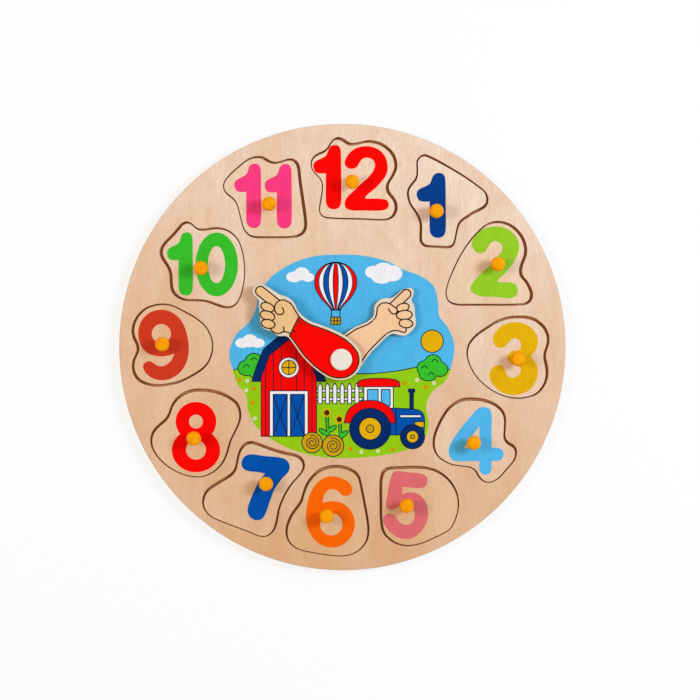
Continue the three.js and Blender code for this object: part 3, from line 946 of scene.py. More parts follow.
@dataclass(frozen=True)
class BrownerByWallsFloor(Finish):
    """The back board's bare ply, browner along the foot of each recess wall."""

    roughness: float = 0.75
    specular: float = 0.15
    base: str = "e0b88a"
    tints: Tints = ((Marks((1.2, 50, 1.2), (0.4, 0.75), 0.7, 5), "c4905a"),)
    wall_tone: str = "d8965c"
    relief: Marks = Marks((1.2, 50, 1.2), (0.4, 0.75), 0.7, 5)
    depth_mm: float = 0.02

    def layers(self, tree: NodeTree, place: NodeSocket) -> Layers:
        """Adds grain, and the browner tone along the walls, as strong as the attribute says.

        Args:
            tree: The material's tree.
            place: Coordinates in metres.

        Returns:
            The strength and colour of each layer.
        """
        # Browner tone along the foot of each recess wall, as strong as the attribute, broken up in patches
        near = add_node(tree, "ShaderNodeAttribute", attribute_name="brown_band").outputs["Fac"]
        patchy = Marks((2, 2, 2), (0.2, 0.6), 1.0, 9).add(tree, place)
        wall_tone = add_node(tree, "ShaderNodeMath", {0: near, 1: patchy}, operation="MULTIPLY")
        return [*super().layers(tree, place), (wall_tone, self.wall_tone)]


@dataclass(frozen=True)
class ScreenPrint(Finish):
    """Water-based screen ink on sanded wood: flat, dense and satin, the grain just telling through."""

    specular: float = 0.03
    tints: Tints = (
        (Marks((1.6, 14, 1.6), (0.35, 0.7), 0.07, 6), "000000"),
        (Marks((9, 9, 9), (0.4, 0.7), 0.05, 2), "000000"),
    )
    relief: Marks = Marks((0.4, 6, 0.4), (0.3, 0.7), 1.0, 3)
    depth_mm: float = 0.012


@dataclass(frozen=True)
class KnobPaint(Finish):
    """Dipped enamel on a turned beech knob: even orange yellow and softly glossy.

    The coat is a touch deeper where it ran, with the tool's rings under it. They are 0.3 mm apart on a
    real knob and are drawn at 0.8 mm.
    """

    specular: float = 0.04
    base: str = "faa504"
    tints: Tints = ((Marks((3, 3, 3), (0.35, 0.7)), "ee9200"),)
    ring_spacing_mm: float = 0.8

    def height(self, tree: NodeTree, place: NodeSocket) -> NodeSocket:
        """Adds the tool's rings. A wave of scale 1 has one to each pi / 10."""
        rings = {"Vector": place, "Scale": math.pi / 10 / (self.ring_spacing_mm * MM), "Distortion": 1.0}
        return add_node(tree, "ShaderNodeTexWave", rings, bands_direction="Z").outputs["Fac"]


@dataclass(frozen=True)
class MouldedPlastic(Finish):
    """White polypropylene, moulded: milky and satin.

    The mould's spark texture is 0.05 mm across on a real part and is drawn at 0.15 mm.
    """

    roughness: float = 0.45
    base: str = "e9e0d2"
    tints: Tints = ((Marks((2.5, 2.5, 2.5), (0.3, 0.7)), "e4dbcd"),)
    relief: Marks = Marks((0.15, 0.15, 0.15), (0.3, 0.7))
    depth_mm: float = 0.001


@dataclass(frozen=True)
class VulcanisedFibre(Finish):
    """Punched red-brown fibre board: dull, with a fine paper fleck."""

    roughness: float = 0.8
    specular: float = 0.2
    base: str = "8a5636"
    relief: Marks = Marks((0.4, 0.4, 0.4), (0.35, 0.7))
    tints: Tints = ((relief, "6b3d23"),)


@dataclass(frozen=True)
class ZincPlate(Finish):
    """Bright zinc on a steel screw: grey, faintly blue, with a drawn-wire haze."""

    roughness: float = 0.33
    specular: float = 0.5
    metallic: float = 1.0
    base: str = "c4c7cb"
    relief: Marks = Marks((0.6, 0.6, 2), (0.3, 0.7))
    tints: Tints = ((relief, "a2a6ac"),)
    depth_mm: float = 0.004


class Workshop:
    """The finishes and the trees, each made once, and the tools that run the trees."""

    def __init__(self) -> None:
        """Makes the materials and builds the trees."""
        self.veneer = BirchVeneer("lacquered_birch_veneer").material()
        self.piece_veneer = BirchVeneer(
            "lacquered_birch_piece_veneer", base="f0d6bd", shade_and_cloud="d9a978", rose="e5b38e"
        ).material()
        self.light_piece_veneer = BirchVeneer(
            "lacquered_light_piece_veneer", base="f3decd", shade_and_cloud="dcb088", yellow="e6cba6", rose="e9c0a2"
        ).material()
        self.pale_veneer = BirchVeneer(
            "lacquered_pale_birch_veneer", base="ece0d0", shade_and_cloud="d8c4a8", yellow="e2d2b4", rose="e4ccb4"
        ).material()
        self.cut = PlyEdge("laser_cut_birch_ply", 0.8, 0.02, low_mm=3.0, burnt=0.8).material()
        self.panel_rim = PlyEdge("sanded_panel_rim", low_mm=3.0).material()
        self.back_rim = PlyEdge("sanded_back_rim", thickness_mm=3.0).material()
        self.hour_rim = PlyEdge("sanded_hour_hand_rim", low_mm=9.1, thickness_mm=3.0).material()
        self.minute_rim = PlyEdge("sanded_minute_hand_rim", low_mm=13.5, thickness_mm=3.0).material()
        self.recess_floor = BrownerByWallsFloor("birch_floor_browner_by_walls").material()
        self.knob = KnobPaint("knob_enamel").material()
        self.white_plastic = MouldedPlastic("white_polypropylene").material()
        self.fibre = VulcanisedFibre("vulcanised_fibre").material()
        self.zinc = ZincPlate("bright_zinc").material()
        self.inks = {
            ink: ScreenPrint(f"screen_ink_{ink.name.lower()}", base=ink.value).material() for ink in Ink
        }
        self.lathe = lathe_tree()
        self.screw = cross_recess_tree(self.lathe)
        self.line = ink_line_tree()
        self.blooms = bloom_tree()

    @staticmethod
    def grow(
        name: str, tree: NodeTree, points: Iterable[Mark], edges: Iterable[tuple[int, int]], **values: object
    ) -> Object:
        """Runs a tree on a guide of points and edges.

        Args:
            name: Name of the piece.
            tree: The tree.
            points: The guide's points.
            edges: The guide's edges.
            values: Value of each named input.

        Returns:
            The piece, as a plain mesh.
        """
        guide = bpy.data.meshes.new(f"{name}_guide")
        guide.from_pydata([tuple(map(float, point)) for point in points], list(edges), [])
        piece = stand(guide)
        piece.name = name
        modifier = piece.modifiers.new("shape", "NODES")
        modifier.node_group = tree
        sockets = {item.name: item.identifier for item in tree.interface.items_tree if item.in_out == "INPUT"}
        for label, value in values.items():
            modifier[sockets[label]] = value
        graph = bpy.context.evaluated_depsgraph_get()
        mesh = bpy.data.meshes.new_from_object(piece.evaluated_get(graph))
        piece.modifiers.remove(modifier)
        piece.data = mesh
        mesh.name = name
        return piece

    def turn(
        self, name: str, shape: Sequence[Mark], axis: Sequence[float], finish: Material, sides: int = 48,
        **cross: Mark,
    ) -> Object:
        """Turns a piece.

        Args:
            name: Name of the piece.
            shape: Radius and height of each point of its profile, in metres.
            axis: Foot of the upright axis.
            finish: The piece's finish.
            sides: Facets round it.
            cross: Size of the cross that is sunk in it, where it has one.

        Returns:
            The piece, its faces outwards and its real edges crisp.
        """
        points = [(radius, 0, height) for radius, height in shape]
        tree = self.screw if cross else self.lathe
        values = {"Sides": sides, "Axis": tuple(axis), "Finish": finish, **cross}
        piece = self.grow(name, tree, points, pairwise(range(len(points))), **values)
        work = bmesh.new()
        work.from_mesh(piece.data)
        bmesh.ops.dissolve_degenerate(work, edges=work.edges, dist=WELD)
        bmesh.ops.recalc_face_normals(work, faces=work.faces)
        work.to_mesh(piece.data)
        work.free()
        piece.data.set_sharp_from_angle(angle=CRISP_ANGLE)
        return piece

    def lines(
        self, name: str, runs: Iterable[tuple[Plan, bool]], height: float, width: float, finish: Material
    ) -> Object:
        """Prints lines.

        Args:
            name: Name of the piece.
            runs: Points in plan, and whether the line is closed, for each line.
            height: Height of the lines' middle.
            width: The lines' width.
            finish: The ink.

        Returns:
            The piece.
        """
        points, edges = [], []
        for path, closed in runs:
            first = len(points)
            points.extend((x, y, height) for x, y in path)
            edges.extend(pairwise(range(first, len(points))))
            if closed:
                edges.append((len(points) - 1, first))
        return self.grow(name, self.line, points, edges, Width=width, Thickness=INK_THICKNESS, Finish=finish)


# Prints


class Patch:
    """A patch of ink: filled outlines, what is cut out of them, open strokes and, mostly, a line round it."""

    def __init__(
        self, ink: Ink, *shapes: Plan, cuts: Sequence[Plan] = (), strokes: Sequence[Plan] = (),
        lined: bool = True,
    ) -> None:
        """Holds the patch's shapes.

        Args:
            ink: Its ink.
            shapes: Its filled outlines.
            cuts: Outlines that are cut out of them.
            strokes: Its open lines.
            lined: Whether a line runs round it.
        """
        self.ink = ink
        self.shapes = shapes
        self.cuts = cuts
        self.strokes = strokes
        self.lined = lined

    def moved(self, place: Callable[[Plan], Plan]) -> Patch:
        """Places the patch on the clock.

        Args:
            place: What places its points.

        Returns:
            The patch, its outlines anticlockwise.
        """
        shapes = [anticlockwise(place(shape)) for shape in self.shapes]
        cuts = [anticlockwise(place(cut)) for cut in self.cuts]
        strokes = [place(path) for path in self.strokes]
        return Patch(self.ink, *shapes, cuts=cuts, strokes=strokes, lined=self.lined)


def digit_one(right: float, top: float, width: float, height: float) -> Plan:
    """Draws the digit one.

    Args:
        right: X of its right edge.
        top: Y of its top.
        width: Its whole width.
        height: Its height.

    Returns:
        The outline.
    """
    one = curve(
        (0.777, 1.0), (0.9, 0.985), (0.975, 0.93), (0.99, 0.86), (1.0, 0.4), (1.0, 0.14), (0.965, 0.06),
        (0.88, 0.017), (0.735, 0.0), (0.57, 0.02), (0.475, 0.07), (0.45, 0.14), (0.448, 0.35),
        (0.448, 0.56, 1), (0.2, 0.56), (0.07, 0.585), (0.0, 0.67), (0.04, 0.725), (0.16, 0.765),
        (0.33, 0.8), (0.465, 0.842), (0.51, 0.89), (0.57, 0.955), (0.66, 0.99),
    )
    return one * (width, height) + (right - width, top - height)


def capsule(start: Mark, end: Mark, radius: float, count: int = 17) -> Plan:
    """Draws a bar with round ends.

    Args:
        start: Middle of its first end.
        end: Middle of its other end.
        radius: Its half width.
        count: Points made for each end.

    Returns:
        The outline.
    """
    ends = np.array([start, end], float)
    turns = math.atan2(*(ends[1] - ends[0])[::-1]) + np.linspace(-math.pi / 2, math.pi / 2, count)
    return np.vstack([ends[1] + radius * polar(turns), ends[0] - radius * polar(turns)])


def box(left: float, low: float, right: float, high: float) -> Plan:
    """Outline of an upright box."""
    return corners((left, low), (right, low), (right, high), (left, high))


def picket(x: float) -> Plan:
    """Outline of a fence picket."""
    return corners((x - 0.9, -25.4), (x + 0.9, -25.4), (x + 0.9, -17.6), (x, -16), (x - 0.9, -17.6))


def gore(width: float) -> Plan:
    """Draws the balloon's envelope, or a stripe of it.

    Args:
        width: The share of the envelope's width that the stripe takes.

    Returns:
        The outline.
    """
    shape = curve(
        (0, 10.5), (5.4, 8.9), (9, 4.4), (9.2, -0.6), (6.6, -5.6), (3.2, -9.2), (2, -11, 1), (-2, -11, 1),
        (-3.2, -9.2), (-6.6, -5.6), (-9.2, -0.6), (-9, 4.4), (-5.4, 8.9),
    )
    return shape * (width, 1) + (-3, 27.5)


def bale(x: float, y: float, radius: float) -> Patch:
    """Draws a round bale of hay, its end wound in a spiral.

    Args:
        x: X of its middle.
        y: Y of its middle.
        radius: Its radius.

    Returns:
        The patch.
    """
    start_share, growth_share, windings, count = 0.12, 0.62, 2.3, 60
    turns = np.linspace(0, 1, count)
    reach = radius * (start_share + growth_share * turns)
    spiral = (x, y) + reach[:, None] * polar(windings * 2 * math.pi * turns)
    return Patch(Ink.OCHRE, oval(x, y, radius, radius), strokes=[spiral])


def planks() -> list[Plan]:
    """Draws the lines between the planks of the barn's front.

    Returns:
        The lines.
    """
    tops = {10.4: -8.6, 6.9: -2.6, 3.4: 0.2}
    joints = [(-24 + side * aside, top) for aside, top in tops.items() for side in (-1, 1)]
    return [stroke((x, -39.8), (x, top)) for x, top in joints]


# The numerals and the picture, in hundredths of the board's radius, from its middle
NUMERALS = {
    1: Patch(Ink.NAVY, digit_one(46.3, 78.0, 13.1, 29.1)),
    2: Patch(Ink.LIME, curve(
        (57.9, 46), (59.3, 49.4), (62.2, 52.3), (65.5, 53.7), (69, 54), (72.8, 53.3), (76.3, 51.2),
        (78.6, 48), (79.2, 44.4), (77.9, 40.2), (75.7, 36.5), (72.9, 33.1), (70, 30.3), (69.3, 29.1, 1),
        (72, 29.1), (75.4, 28.9), (77.7, 27.9), (78.6, 25.4), (77.6, 22.9), (75.1, 21.9), (69, 22.4),
        (62, 22.8), (59.2, 23.7), (57.6, 25.2), (57.4, 27), (58.6, 29.1), (61, 31.9), (64.7, 35.4),
        (67.6, 38.4), (69.8, 40.9), (71.4, 43), (71.6, 45.1), (70.5, 46.7), (68.4, 47.4), (66.5, 46.6),
        (65.3, 44.8), (64.1, 42.9), (61.8, 42), (59.4, 43),
    )),
    3: Patch(Ink.YELLOW, curve(
        (77.4, 11.2), (81.9, 10.3), (85.4, 7.8), (87.2, 4.8), (87.5, 1.8), (86.7, -1.3), (84.3, -4.1, 1),
        (86.5, -6.8), (87.6, -10.7), (86.7, -15.2), (83.8, -19.2), (80.3, -20.9), (76.4, -21.5),
        (71.6, -20.4), (67.9, -17.4), (66.1, -14.4), (66, -12), (67.4, -9.2), (70, -8), (72, -8.9),
        (72.9, -10.4), (73.9, -12.6), (75.5, -13.6), (77.7, -13.4), (79.4, -12), (80, -10.2), (79.2, -8.7),
        (77.4, -8), (75.2, -7.3), (74, -5.6), (74.2, -3.6), (75.6, -2), (78.5, -1.4), (79.8, -0.5), (80, 1),
        (79.4, 2.8), (77.7, 3.8), (75.7, 3.4), (74, 1.5), (72.4, 0), (70.5, -0.4), (68.3, 0.9), (67.4, 3.7),
        (69, 7.3), (72.6, 10.1),
    )),
    4: Patch(Ink.SKY, curve(
        (63.4, -26.9), (65.8, -27.7), (66.8, -30), (66.8, -37), (66.8, -45.1, 1), (69.2, -45.1), (71.4, -46),
        (72.2, -48.1), (71.4, -50.2), (69.2, -51), (66.8, -51, 1), (66.8, -54.5), (66.1, -56.4),
        (64.1, -57.2), (62.1, -56.4), (61.4, -54.5), (61.4, -51.1, 1), (56, -51.1), (50.9, -51.1),
        (48.6, -49.9), (47.6, -47.1), (48.4, -43.4), (50.4, -40), (55, -34), (60.2, -28.1), (61.6, -27.1),
    ), cuts=[curve((61.3, -35.5, 1), (57.8, -40.4), (54.4, -45.3, 1), (61.4, -45.2, 1))]),
    5: Patch(Ink.ROSE, curve(
        (24.1, -55.6), (29, -56.1), (35.3, -56.7), (37.4, -57.8), (38.1, -59.9), (37.2, -62.3), (35, -63.2),
        (31, -63), (27, -62.7, 1), (26.7, -66.1, 1), (28.4, -65.4), (30.4, -65.1), (34.2, -66),
        (37.2, -69.2), (38.4, -74), (37.6, -78.8), (35, -83), (32.1, -85.2), (28.6, -86), (24.3, -85),
        (20.7, -82.2), (18.6, -79.2), (18.2, -77.1), (19.1, -75.4), (21, -74.7), (23.3, -75.6),
        (24.9, -77.6), (26.5, -79.2), (28.6, -79.7), (30.7, -79), (31.9, -77.4), (32.4, -75.3),
        (31.9, -73.2), (30.6, -71.7), (28.5, -71), (26, -71.3), (24, -72.4), (22.1, -72.9), (20.3, -72.3),
        (19.4, -71), (19.5, -69.4), (20.1, -66.4), (20.7, -62.7), (21.7, -58.7), (22.6, -56.5),
    )),
    6: Patch(Ink.ORANGE, curve(
        (-4.8, -57.9), (-0.6, -58.7), (2.9, -60.7), (4.5, -63.5), (3.7, -65.9), (1.4, -66.8), (-0.4, -66.1),
        (-1.6, -64.8), (-2.9, -64), (-4.8, -63.7), (-6, -64), (-7.3, -64.9), (-8.2, -66.3), (-8.7, -68.2),
        (-8.8, -69.8, 1), (-6.9, -69.3), (-4.5, -69), (0.2, -70.1), (3.9, -73.4), (5.6, -78.6), (4.6, -83.6),
        (1.5, -87.6), (-1.6, -89.3), (-4.8, -89.8), (-9.6, -88.6), (-13.4, -85.2), (-15.6, -80.8),
        (-16.3, -76), (-15.7, -70), (-13.9, -64.6), (-10.8, -60.3), (-7.8, -58.5),
    ), cuts=[oval(-5, -79.4, 5, 5)]),
    7: Patch(Ink.BLUE, curve(
        (-41.4, -48.1), (-35, -48.8), (-28, -49.5), (-25.3, -50.5), (-23.7, -52.8), (-24.1, -55.7),
        (-27.1, -59), (-30.4, -63.8), (-32.4, -68.9), (-34.3, -74.3), (-36, -76.9), (-38.6, -77.6),
        (-41.2, -76.4), (-42.4, -74), (-42.2, -71.3), (-39.6, -64.6), (-37.4, -60.2), (-34.7, -56.7, 1),
        (-38, -56), (-42.4, -55.5), (-44.6, -54.2), (-45.2, -51.9), (-44.1, -49.3),
    )),
    8: Patch(
        Ink.RED, oval(-65.6, -33.4, 9.1, 8.8), oval(-65.6, -46.3, 10.8, 9.8),
        cuts=[oval(-65.6, -33.4, 3.1, 3.1), oval(-65.6, -46, 4.45, 4.45)],
    ),
    9: Patch(Ink.BRICK, curve(
        (-81, 16.7), (-76.2, 15.4), (-72.2, 11.8), (-69.8, 6.4), (-68.8, -1), (-69.7, -6.4), (-72.4, -11),
        (-76.5, -14), (-81, -14.9), (-85.4, -13.8), (-88.4, -11.2), (-89.3, -8.6), (-88.2, -6.8),
        (-86.3, -6.4), (-84.6, -7.2), (-83, -8.2), (-81, -8.6), (-79, -8), (-76.7, -6), (-75.3, -3, 1),
        (-79, -4), (-83, -4.1), (-87.2, -2.7), (-90.2, 0.6), (-91.5, 6), (-90.2, 11.4), (-86.4, 15.4),
    ), cuts=[oval(-81.1, 6, 4.3, 4.3)]),
    10: Patch(
        Ink.GREEN, digit_one(-67.0, 51.4, 11.6, 28.3), oval(-56.3, 37, 9.5, 14.3),
        cuts=[oval(-56.4, 36.9, 3.8, 8.3)],
    ),
    11: Patch(Ink.PINK, digit_one(-36.4, 82.2, 12.1, 28.9), digit_one(-22.7, 82.0, 12.1, 28.9)),
    12: Patch(Ink.RED, digit_one(-0.5, 90.5, 12.6, 28.8), curve(
        (1.0, 82.5), (2.6, 86.3), (6.2, 89.1), (10.8, 90), (15.6, 88.8), (19, 85.6), (20.3, 80.5),
        (19.5, 77), (17, 73.5), (14, 70.5), (10.8, 67.8), (10.2, 66.5, 1), (14, 66.5), (18.3, 66.3),
        (20.1, 65.6), (20.8, 63.9), (20.2, 62.2), (18.3, 61.3), (10, 61.1), (3.6, 61.3), (1.6, 62.3),
        (1.0, 64), (1.3, 65.7), (2.5, 67.5), (5, 70), (8.5, 73.3), (11.5, 76), (13.7, 78.8), (14.6, 81.6),
        (13.5, 84), (10.8, 84.8), (8.8, 84.1), (7.6, 82.4), (6.3, 80.5), (3.8, 79.8), (1.8, 80.7),
    )),
}

STRIPES = ((Ink.RED, 1.0), (Ink.WHITE, 0.8), (Ink.BLUE, 0.58), (Ink.WHITE, 0.34), (Ink.RED, 0.12))
SKYLINE = ((-38, -7.6), (-24, -7.8), (-8, -10.4), (8, -12), (24, -10.8), (36, -8.8))

PICTURE = (
    Patch(Ink.SKY, curve(
        (-49.5, -9), (-50.6, -2), (-47.6, 5.6), (-42, 11), (-38.8, 17), (-37.4, 24), (-31.6, 31.6),
        (-23.4, 37), (-13, 40.6), (-1, 41.4), (10, 40.8), (20, 38.4), (28, 34.4), (34.6, 32), (40.6, 27.6),
        (42.8, 20.6), (43.4, 14), (47.4, 8.4), (50, 1.6), (49.4, -6), (46.6, -12), (20, -18), (-20, -18),
        (-46, -14),
    ), lined=False),
    Patch(
        Ink.WHITE, oval(17.6, 31.4, 4.6, 3), oval(22.4, 33, 4.4, 3.6), oval(13.8, 33.6, 3.6, 2.8),
        oval(18.4, 34.8, 4.2, 3), oval(-44.8, 1.8, 3.2, 2.2), oval(-41.4, 2.8, 3.4, 2.9),
        oval(-38, 1.8, 3.2, 2.1), oval(-21.6, 31.4, 3.6, 2.4), oval(-18.2, 32.8, 3.4, 2.9),
        oval(-15.4, 31.2, 2.8, 2), lined=False,
    ),
    Patch(Ink.YELLOW, oval(40.2, 2.6, 5, 5)),
    Patch(Ink.GRASS, curve(
        (-49.2, -10.4, 1), *SKYLINE, (48.6, -10, 1), (46, -15.4), (40.2, -20), (37.6, -26.4), (38.6, -34),
        (37, -40.6), (30.4, -45.4), (20, -48.2), (6, -49.6), (-8, -49.4), (-20, -46.8), (-30.6, -42),
        (-38.6, -35.6), (-42.2, -28.4), (-43.2, -21.6), (-47, -16.6),
    ), strokes=[stroke((-49, -10.3), *SKYLINE, (48.4, -10))], lined=False),
    Patch(
        Ink.GREEN, oval(-43, -9.4, 3.8, 3.4), oval(-39.6, -7.2, 4.2, 4.4), oval(-38, -11, 4, 3.4),
        strokes=[
            stroke((-44.4, -9), (-43, -7.8), (-41.6, -9)), stroke((-41.2, -5.8), (-39.6, -4.8), (-38.2, -6)),
            stroke((-39.6, -11.8), (-38.2, -10.6), (-36.8, -11.8)),
        ],
    ),
    Patch(
        Ink.GREEN, oval(43.8, -10, 3.4, 3.2), oval(40.6, -7.8, 4, 4.4), oval(36.8, -9.4, 3.4, 3.2),
        oval(38.4, -12, 4, 3.2),
        strokes=[
            stroke((35.4, -9.6), (36.8, -8.4), (38.2, -9.6)), stroke((40, -6.6), (41.4, -5.4), (42.8, -6.8)),
            stroke((38.4, -12.6), (39.8, -11.4), (41.2, -12.6)),
        ],
    ),
    *(Patch(ink, gore(width)) for ink, width in STRIPES),
    Patch(
        Ink.OCHRE, box(-5.2, 10, -0.8, 13.4),
        strokes=[
            stroke((-5, 16.4), (-4.8, 13.4)), stroke((-1, 16.4), (-1.2, 13.4)),
            stroke((-5.2, 11.7), (-0.8, 11.7)), stroke((-3.7, 13.4), (-3.7, 10)),
            stroke((-2.3, 13.4), (-2.3, 10)),
        ],
    ),
    Patch(Ink.WHITE, box(-11.6, -20.2, 9, -18.9), box(-11.6, -24, 9, -22.7)),
    Patch(Ink.WHITE, *(picket(-10 + 3.3 * k) for k in range(6))),
    Patch(Ink.DEEP_NAVY, curve(
        (-40.6, -15.4, 1), (-38.2, -8), (-35.4, -1, 1), (-30, 3.6), (-24, 8.2, 1), (-18, 3.6),
        (-12.6, -1, 1), (-9.8, -8), (-7.4, -15.4, 1),
    )),
    Patch(Ink.RED, corners(
        (-36.4, -40), (-11.6, -40), (-11.6, -13.4), (-15.4, -3.6), (-24, 3.4), (-32.6, -3.6), (-36.4, -13.4),
    ), strokes=planks()),
    Patch(Ink.WHITE, box(-32.6, -40, -15.4, -19.6), oval(-24, -9.2, 4.6, 4.6)),
    Patch(
        Ink.BLUE, box(-31, -40, -24.7, -21.2), box(-23.3, -40, -17, -21.2),
        strokes=[
            stroke((-31, -39.8), (-24.7, -21.4)), stroke((-24.7, -39.8), (-31, -21.4)),
            stroke((-23.3, -39.8), (-17, -21.4)), stroke((-17, -39.8), (-23.3, -21.4)),
        ],
    ),
    Patch(
        Ink.YELLOW, oval(-24, -9.2, 3.2, 3.2),
        strokes=[stroke((-24, -12.4), (-24, -6)), stroke((-27.2, -9.2), (-20.8, -9.2))],
    ),
    Patch(
        Ink.GREEN, capsule((-6.2, -43), (-7, -30), 0.6), capsule((-0.6, -43), (-1.2, -33), 0.6),
        oval(-4.6, -36.6, 2.2, 1, 35), oval(-8.6, -38, 2.2, 1, 145), oval(0.8, -39, 2.2, 1, 40),
    ),
    bale(-13.6, -42.8, 4.6),
    bale(-4.2, -44.2, 4.8),
    Patch(Ink.WHITE, box(9.6, -28, 22.8, -17.4)),
    Patch(Ink.SKY, box(11.2, -26.4, 16, -19), box(17.4, -26.4, 21.4, -19)),
    Patch(Ink.RED, curve((6.6, -17.8, 1), (7.4, -15.2), (25, -15.2), (25.8, -17.8, 1))),
    Patch(Ink.DEEP_NAVY, box(30.2, -29, 31.8, -19.4), box(29.6, -20.2, 32.4, -18.8)),
    Patch(
        Ink.BLUE,
        curve((8, -27.4, 1), (24, -27.4, 1), (34.4, -28.4), (36.4, -30.4), (36.6, -39.4, 1), (8, -39.4, 1)),
        strokes=[stroke((24, -27.6), (24, -39.2))],
    ),
    Patch(Ink.WHITE, box(25.8, -31.6, 35.2, -30.4)),
    Patch(Ink.YELLOW, box(32.4, -36, 36.6, -33.4)),
    Patch(Ink.RED, curve(
        (0.8, -34, 1), (2.4, -28.6), (6.8, -25), (12.4, -23.9), (18, -25), (22.4, -28.6), (24, -34, 1),
    )),
    Patch(Ink.DEEP_NAVY, oval(12.4, -36.6, 9.2, 9.2), oval(31.4, -40.2, 5.4, 5.4)),
    Patch(Ink.YELLOW, oval(12.4, -36.6, 5, 5), oval(31.4, -40.2, 2.7, 2.7)),
    Patch(Ink.OCHRE, oval(12.4, -36.6, 1.7, 1.7), oval(31.4, -40.2, 0.9, 0.9)),
)

# The drawings on the hands, in hundredths of the hand's reach, along Y
SLEEVED_THUMB = ((8.8, 64.4), (9, 69), (6.5, 74.7), (1, 76.6), (-4.2, 74), (-5.5, 69.4), (-3, 66.2))

MINUTE_DRAWING = (
    Patch(Ink.TAN, curve(
        (4.6, 48), (5.2, 54), (6.8, 58.6), (7.6, 63), (7.2, 69), (4, 74), (-2, 76.6), (-9, 76), (-15, 72),
        (-19.4, 66.4), (-20, 61.4), (-17.8, 57.2), (-14.2, 55.2), (-11.8, 51), (-11.4, 44, 1), (5, 44, 1),
    ), strokes=[stroke((-14.2, 55.2), (-12.2, 56.4), (-10.8, 58.6))]),
    Patch(Ink.TAN, capsule((0.9, 72), (0.2, 94.2), 4.3)),
    Patch(Ink.TAN, oval(-6.6, 80.2, 6.2, 3.8, 108)),
    Patch(Ink.TAN, oval(-12.4, 75.4, 6.8, 4.0, 112)),
    Patch(Ink.TAN, oval(-17.6, 70.2, 6.2, 3.9, 118)),
    Patch(
        Ink.TAN, curve((5, 60), (7.4, 60.4), *SLEEVED_THUMB, (0, 62)),
        strokes=[stroke((7.2, 60), *SLEEVED_THUMB, (0.2, 67), (1.6, 70.4))], lined=False,
    ),
)

BARE_THUMB = (
    (-11.2, 62.8), (-12, 66.4), (-10.9, 70.6), (-6.8, 74.2), (-1.2, 75.6), (3.9, 76), (5.9, 73), (4, 69.8),
)

HOUR_DRAWING = (
    Patch(Ink.SKIN, curve(
        (-5.4, 50.4, 1), (-5.45, 52.4), (-5.9, 54.6), (-6.9, 57), (-8.4, 59.2), (-9.8, 62), (-10.4, 66),
        (-9, 70), (-5, 74.6), (0, 77), (8, 77), (18, 72), (25, 68), (26, 65.4), (23, 63.2), (18.6, 60.6),
        (15.9, 57), (14.6, 54.4), (14, 52.4), (13.75, 50.4, 1),
    )),
    Patch(Ink.SKIN, capsule((-1, 73), (-0.7, 93.8), 4.5)),
    Patch(Ink.SKIN, oval(6.6, 81.4, 6.6, 4.2, 62)),
    Patch(Ink.SKIN, oval(13, 77.2, 8.0, 4.7, 50)),
    Patch(Ink.SKIN, oval(20.2, 72.4, 6.9, 4.4, 40)),
    Patch(
        Ink.SKIN, curve((-5, 58.6), (-9, 60.2), *BARE_THUMB, (2, 62)),
        strokes=[stroke((-8.8, 59.8), *BARE_THUMB, (-0.4, 69.6), (-3.2, 70.6))], lined=False,
    ),
)

CUFF_CREASES = (
    stroke((-8.6, 50.2), (-7.4, 48.4), (-7.6, 46)),
    stroke((2.4, 52), (1.2, 49.6), (1.6, 47.4)),
)


# Sub-assemblies


@dataclass
class Board:
    """The front panel with its twelve recesses, glued on the back board.

    Slot 0 is the veneer of the faces, 1 the sanded rim, and 2 the panel's laser cut or the floor, browner by
    the recess walls.
    """

    shop: Workshop
    rim_ease: float = 0.45 * MM
    cut_ease: float = 0.2 * MM
    bore_ease: float = 0.1 * MM
    wall_tone_width: float = 2.6 * MM
    pocket_radius: float = 5.65 * MM
    pocket_depth: float = 2.1 * MM

    def build(self) -> None:
        """Builds both boards."""
        self.edge, *self.recesses, self.bore = outlines("front_panel")
        self.build_panel()
        self.build_back()

    def build_panel(self) -> None:
        """Builds the panel."""
        low, high = extent("front_panel")[2:]
        holes = [eased(recess, low, high, self.cut_ease, hole=True) for recess in self.recesses]
        holes.append(eased(self.bore, low, high, self.bore_ease, hole=True))
        shell = Shell("panel")
        shell.slab(eased(self.edge, low, high, self.rim_ease), RIM_BANDS, holes, (2,) * 7)
        panel = shell.build(self.shop.veneer, self.shop.panel_rim, self.shop.cut)
        settle(panel, "board", "panel_wood", "front_panel")

    def build_back(self) -> None:
        """Builds the back board, with the floor of each recess browner by its walls and a pocket for the
        retainer.
        """
        low, high = extent("back_board")[2:]
        pocket = circle(self.bore.mean(axis=0), self.pocket_radius, len(self.bore))
        roof = low + self.pocket_depth
        hole = [(inset(pocket, -self.bore_ease), low), (pocket, low + self.bore_ease), (pocket, roof)]
        hole += [(self.bore, roof), (self.bore, high)]
        shell = Shell("back")
        outer = eased(self.edge, low, high, self.rim_ease)
        shell.slab(outer, RIM_BANDS, [hole], (1, 1, 0, 1), self.recesses)
        for recess in self.recesses:
            inner = margin(recess, self.wall_tone_width)
            shell.sheet([recess], [inner], high, 2)
            shell.sheet([inner], [], high, 2)
        back = shell.build(self.shop.veneer, self.shop.back_rim, self.shop.recess_floor)
        walls = finder(np.vstack(self.recesses))
        gaps = [walls.find((*vertex.co[:2], 0))[2] for vertex in back.data.vertices]
        # Strength of the browner tone at each point of the floor: full at a recess wall, none a band's width
        # away
        near = [max(0.0, 1 - gap / self.wall_tone_width) for gap in gaps]
        back.data.attributes.new("brown_band", "FLOAT", "POINT").data.foreach_set("value", near)
        settle(back, "board", "back_wood", "back_board")


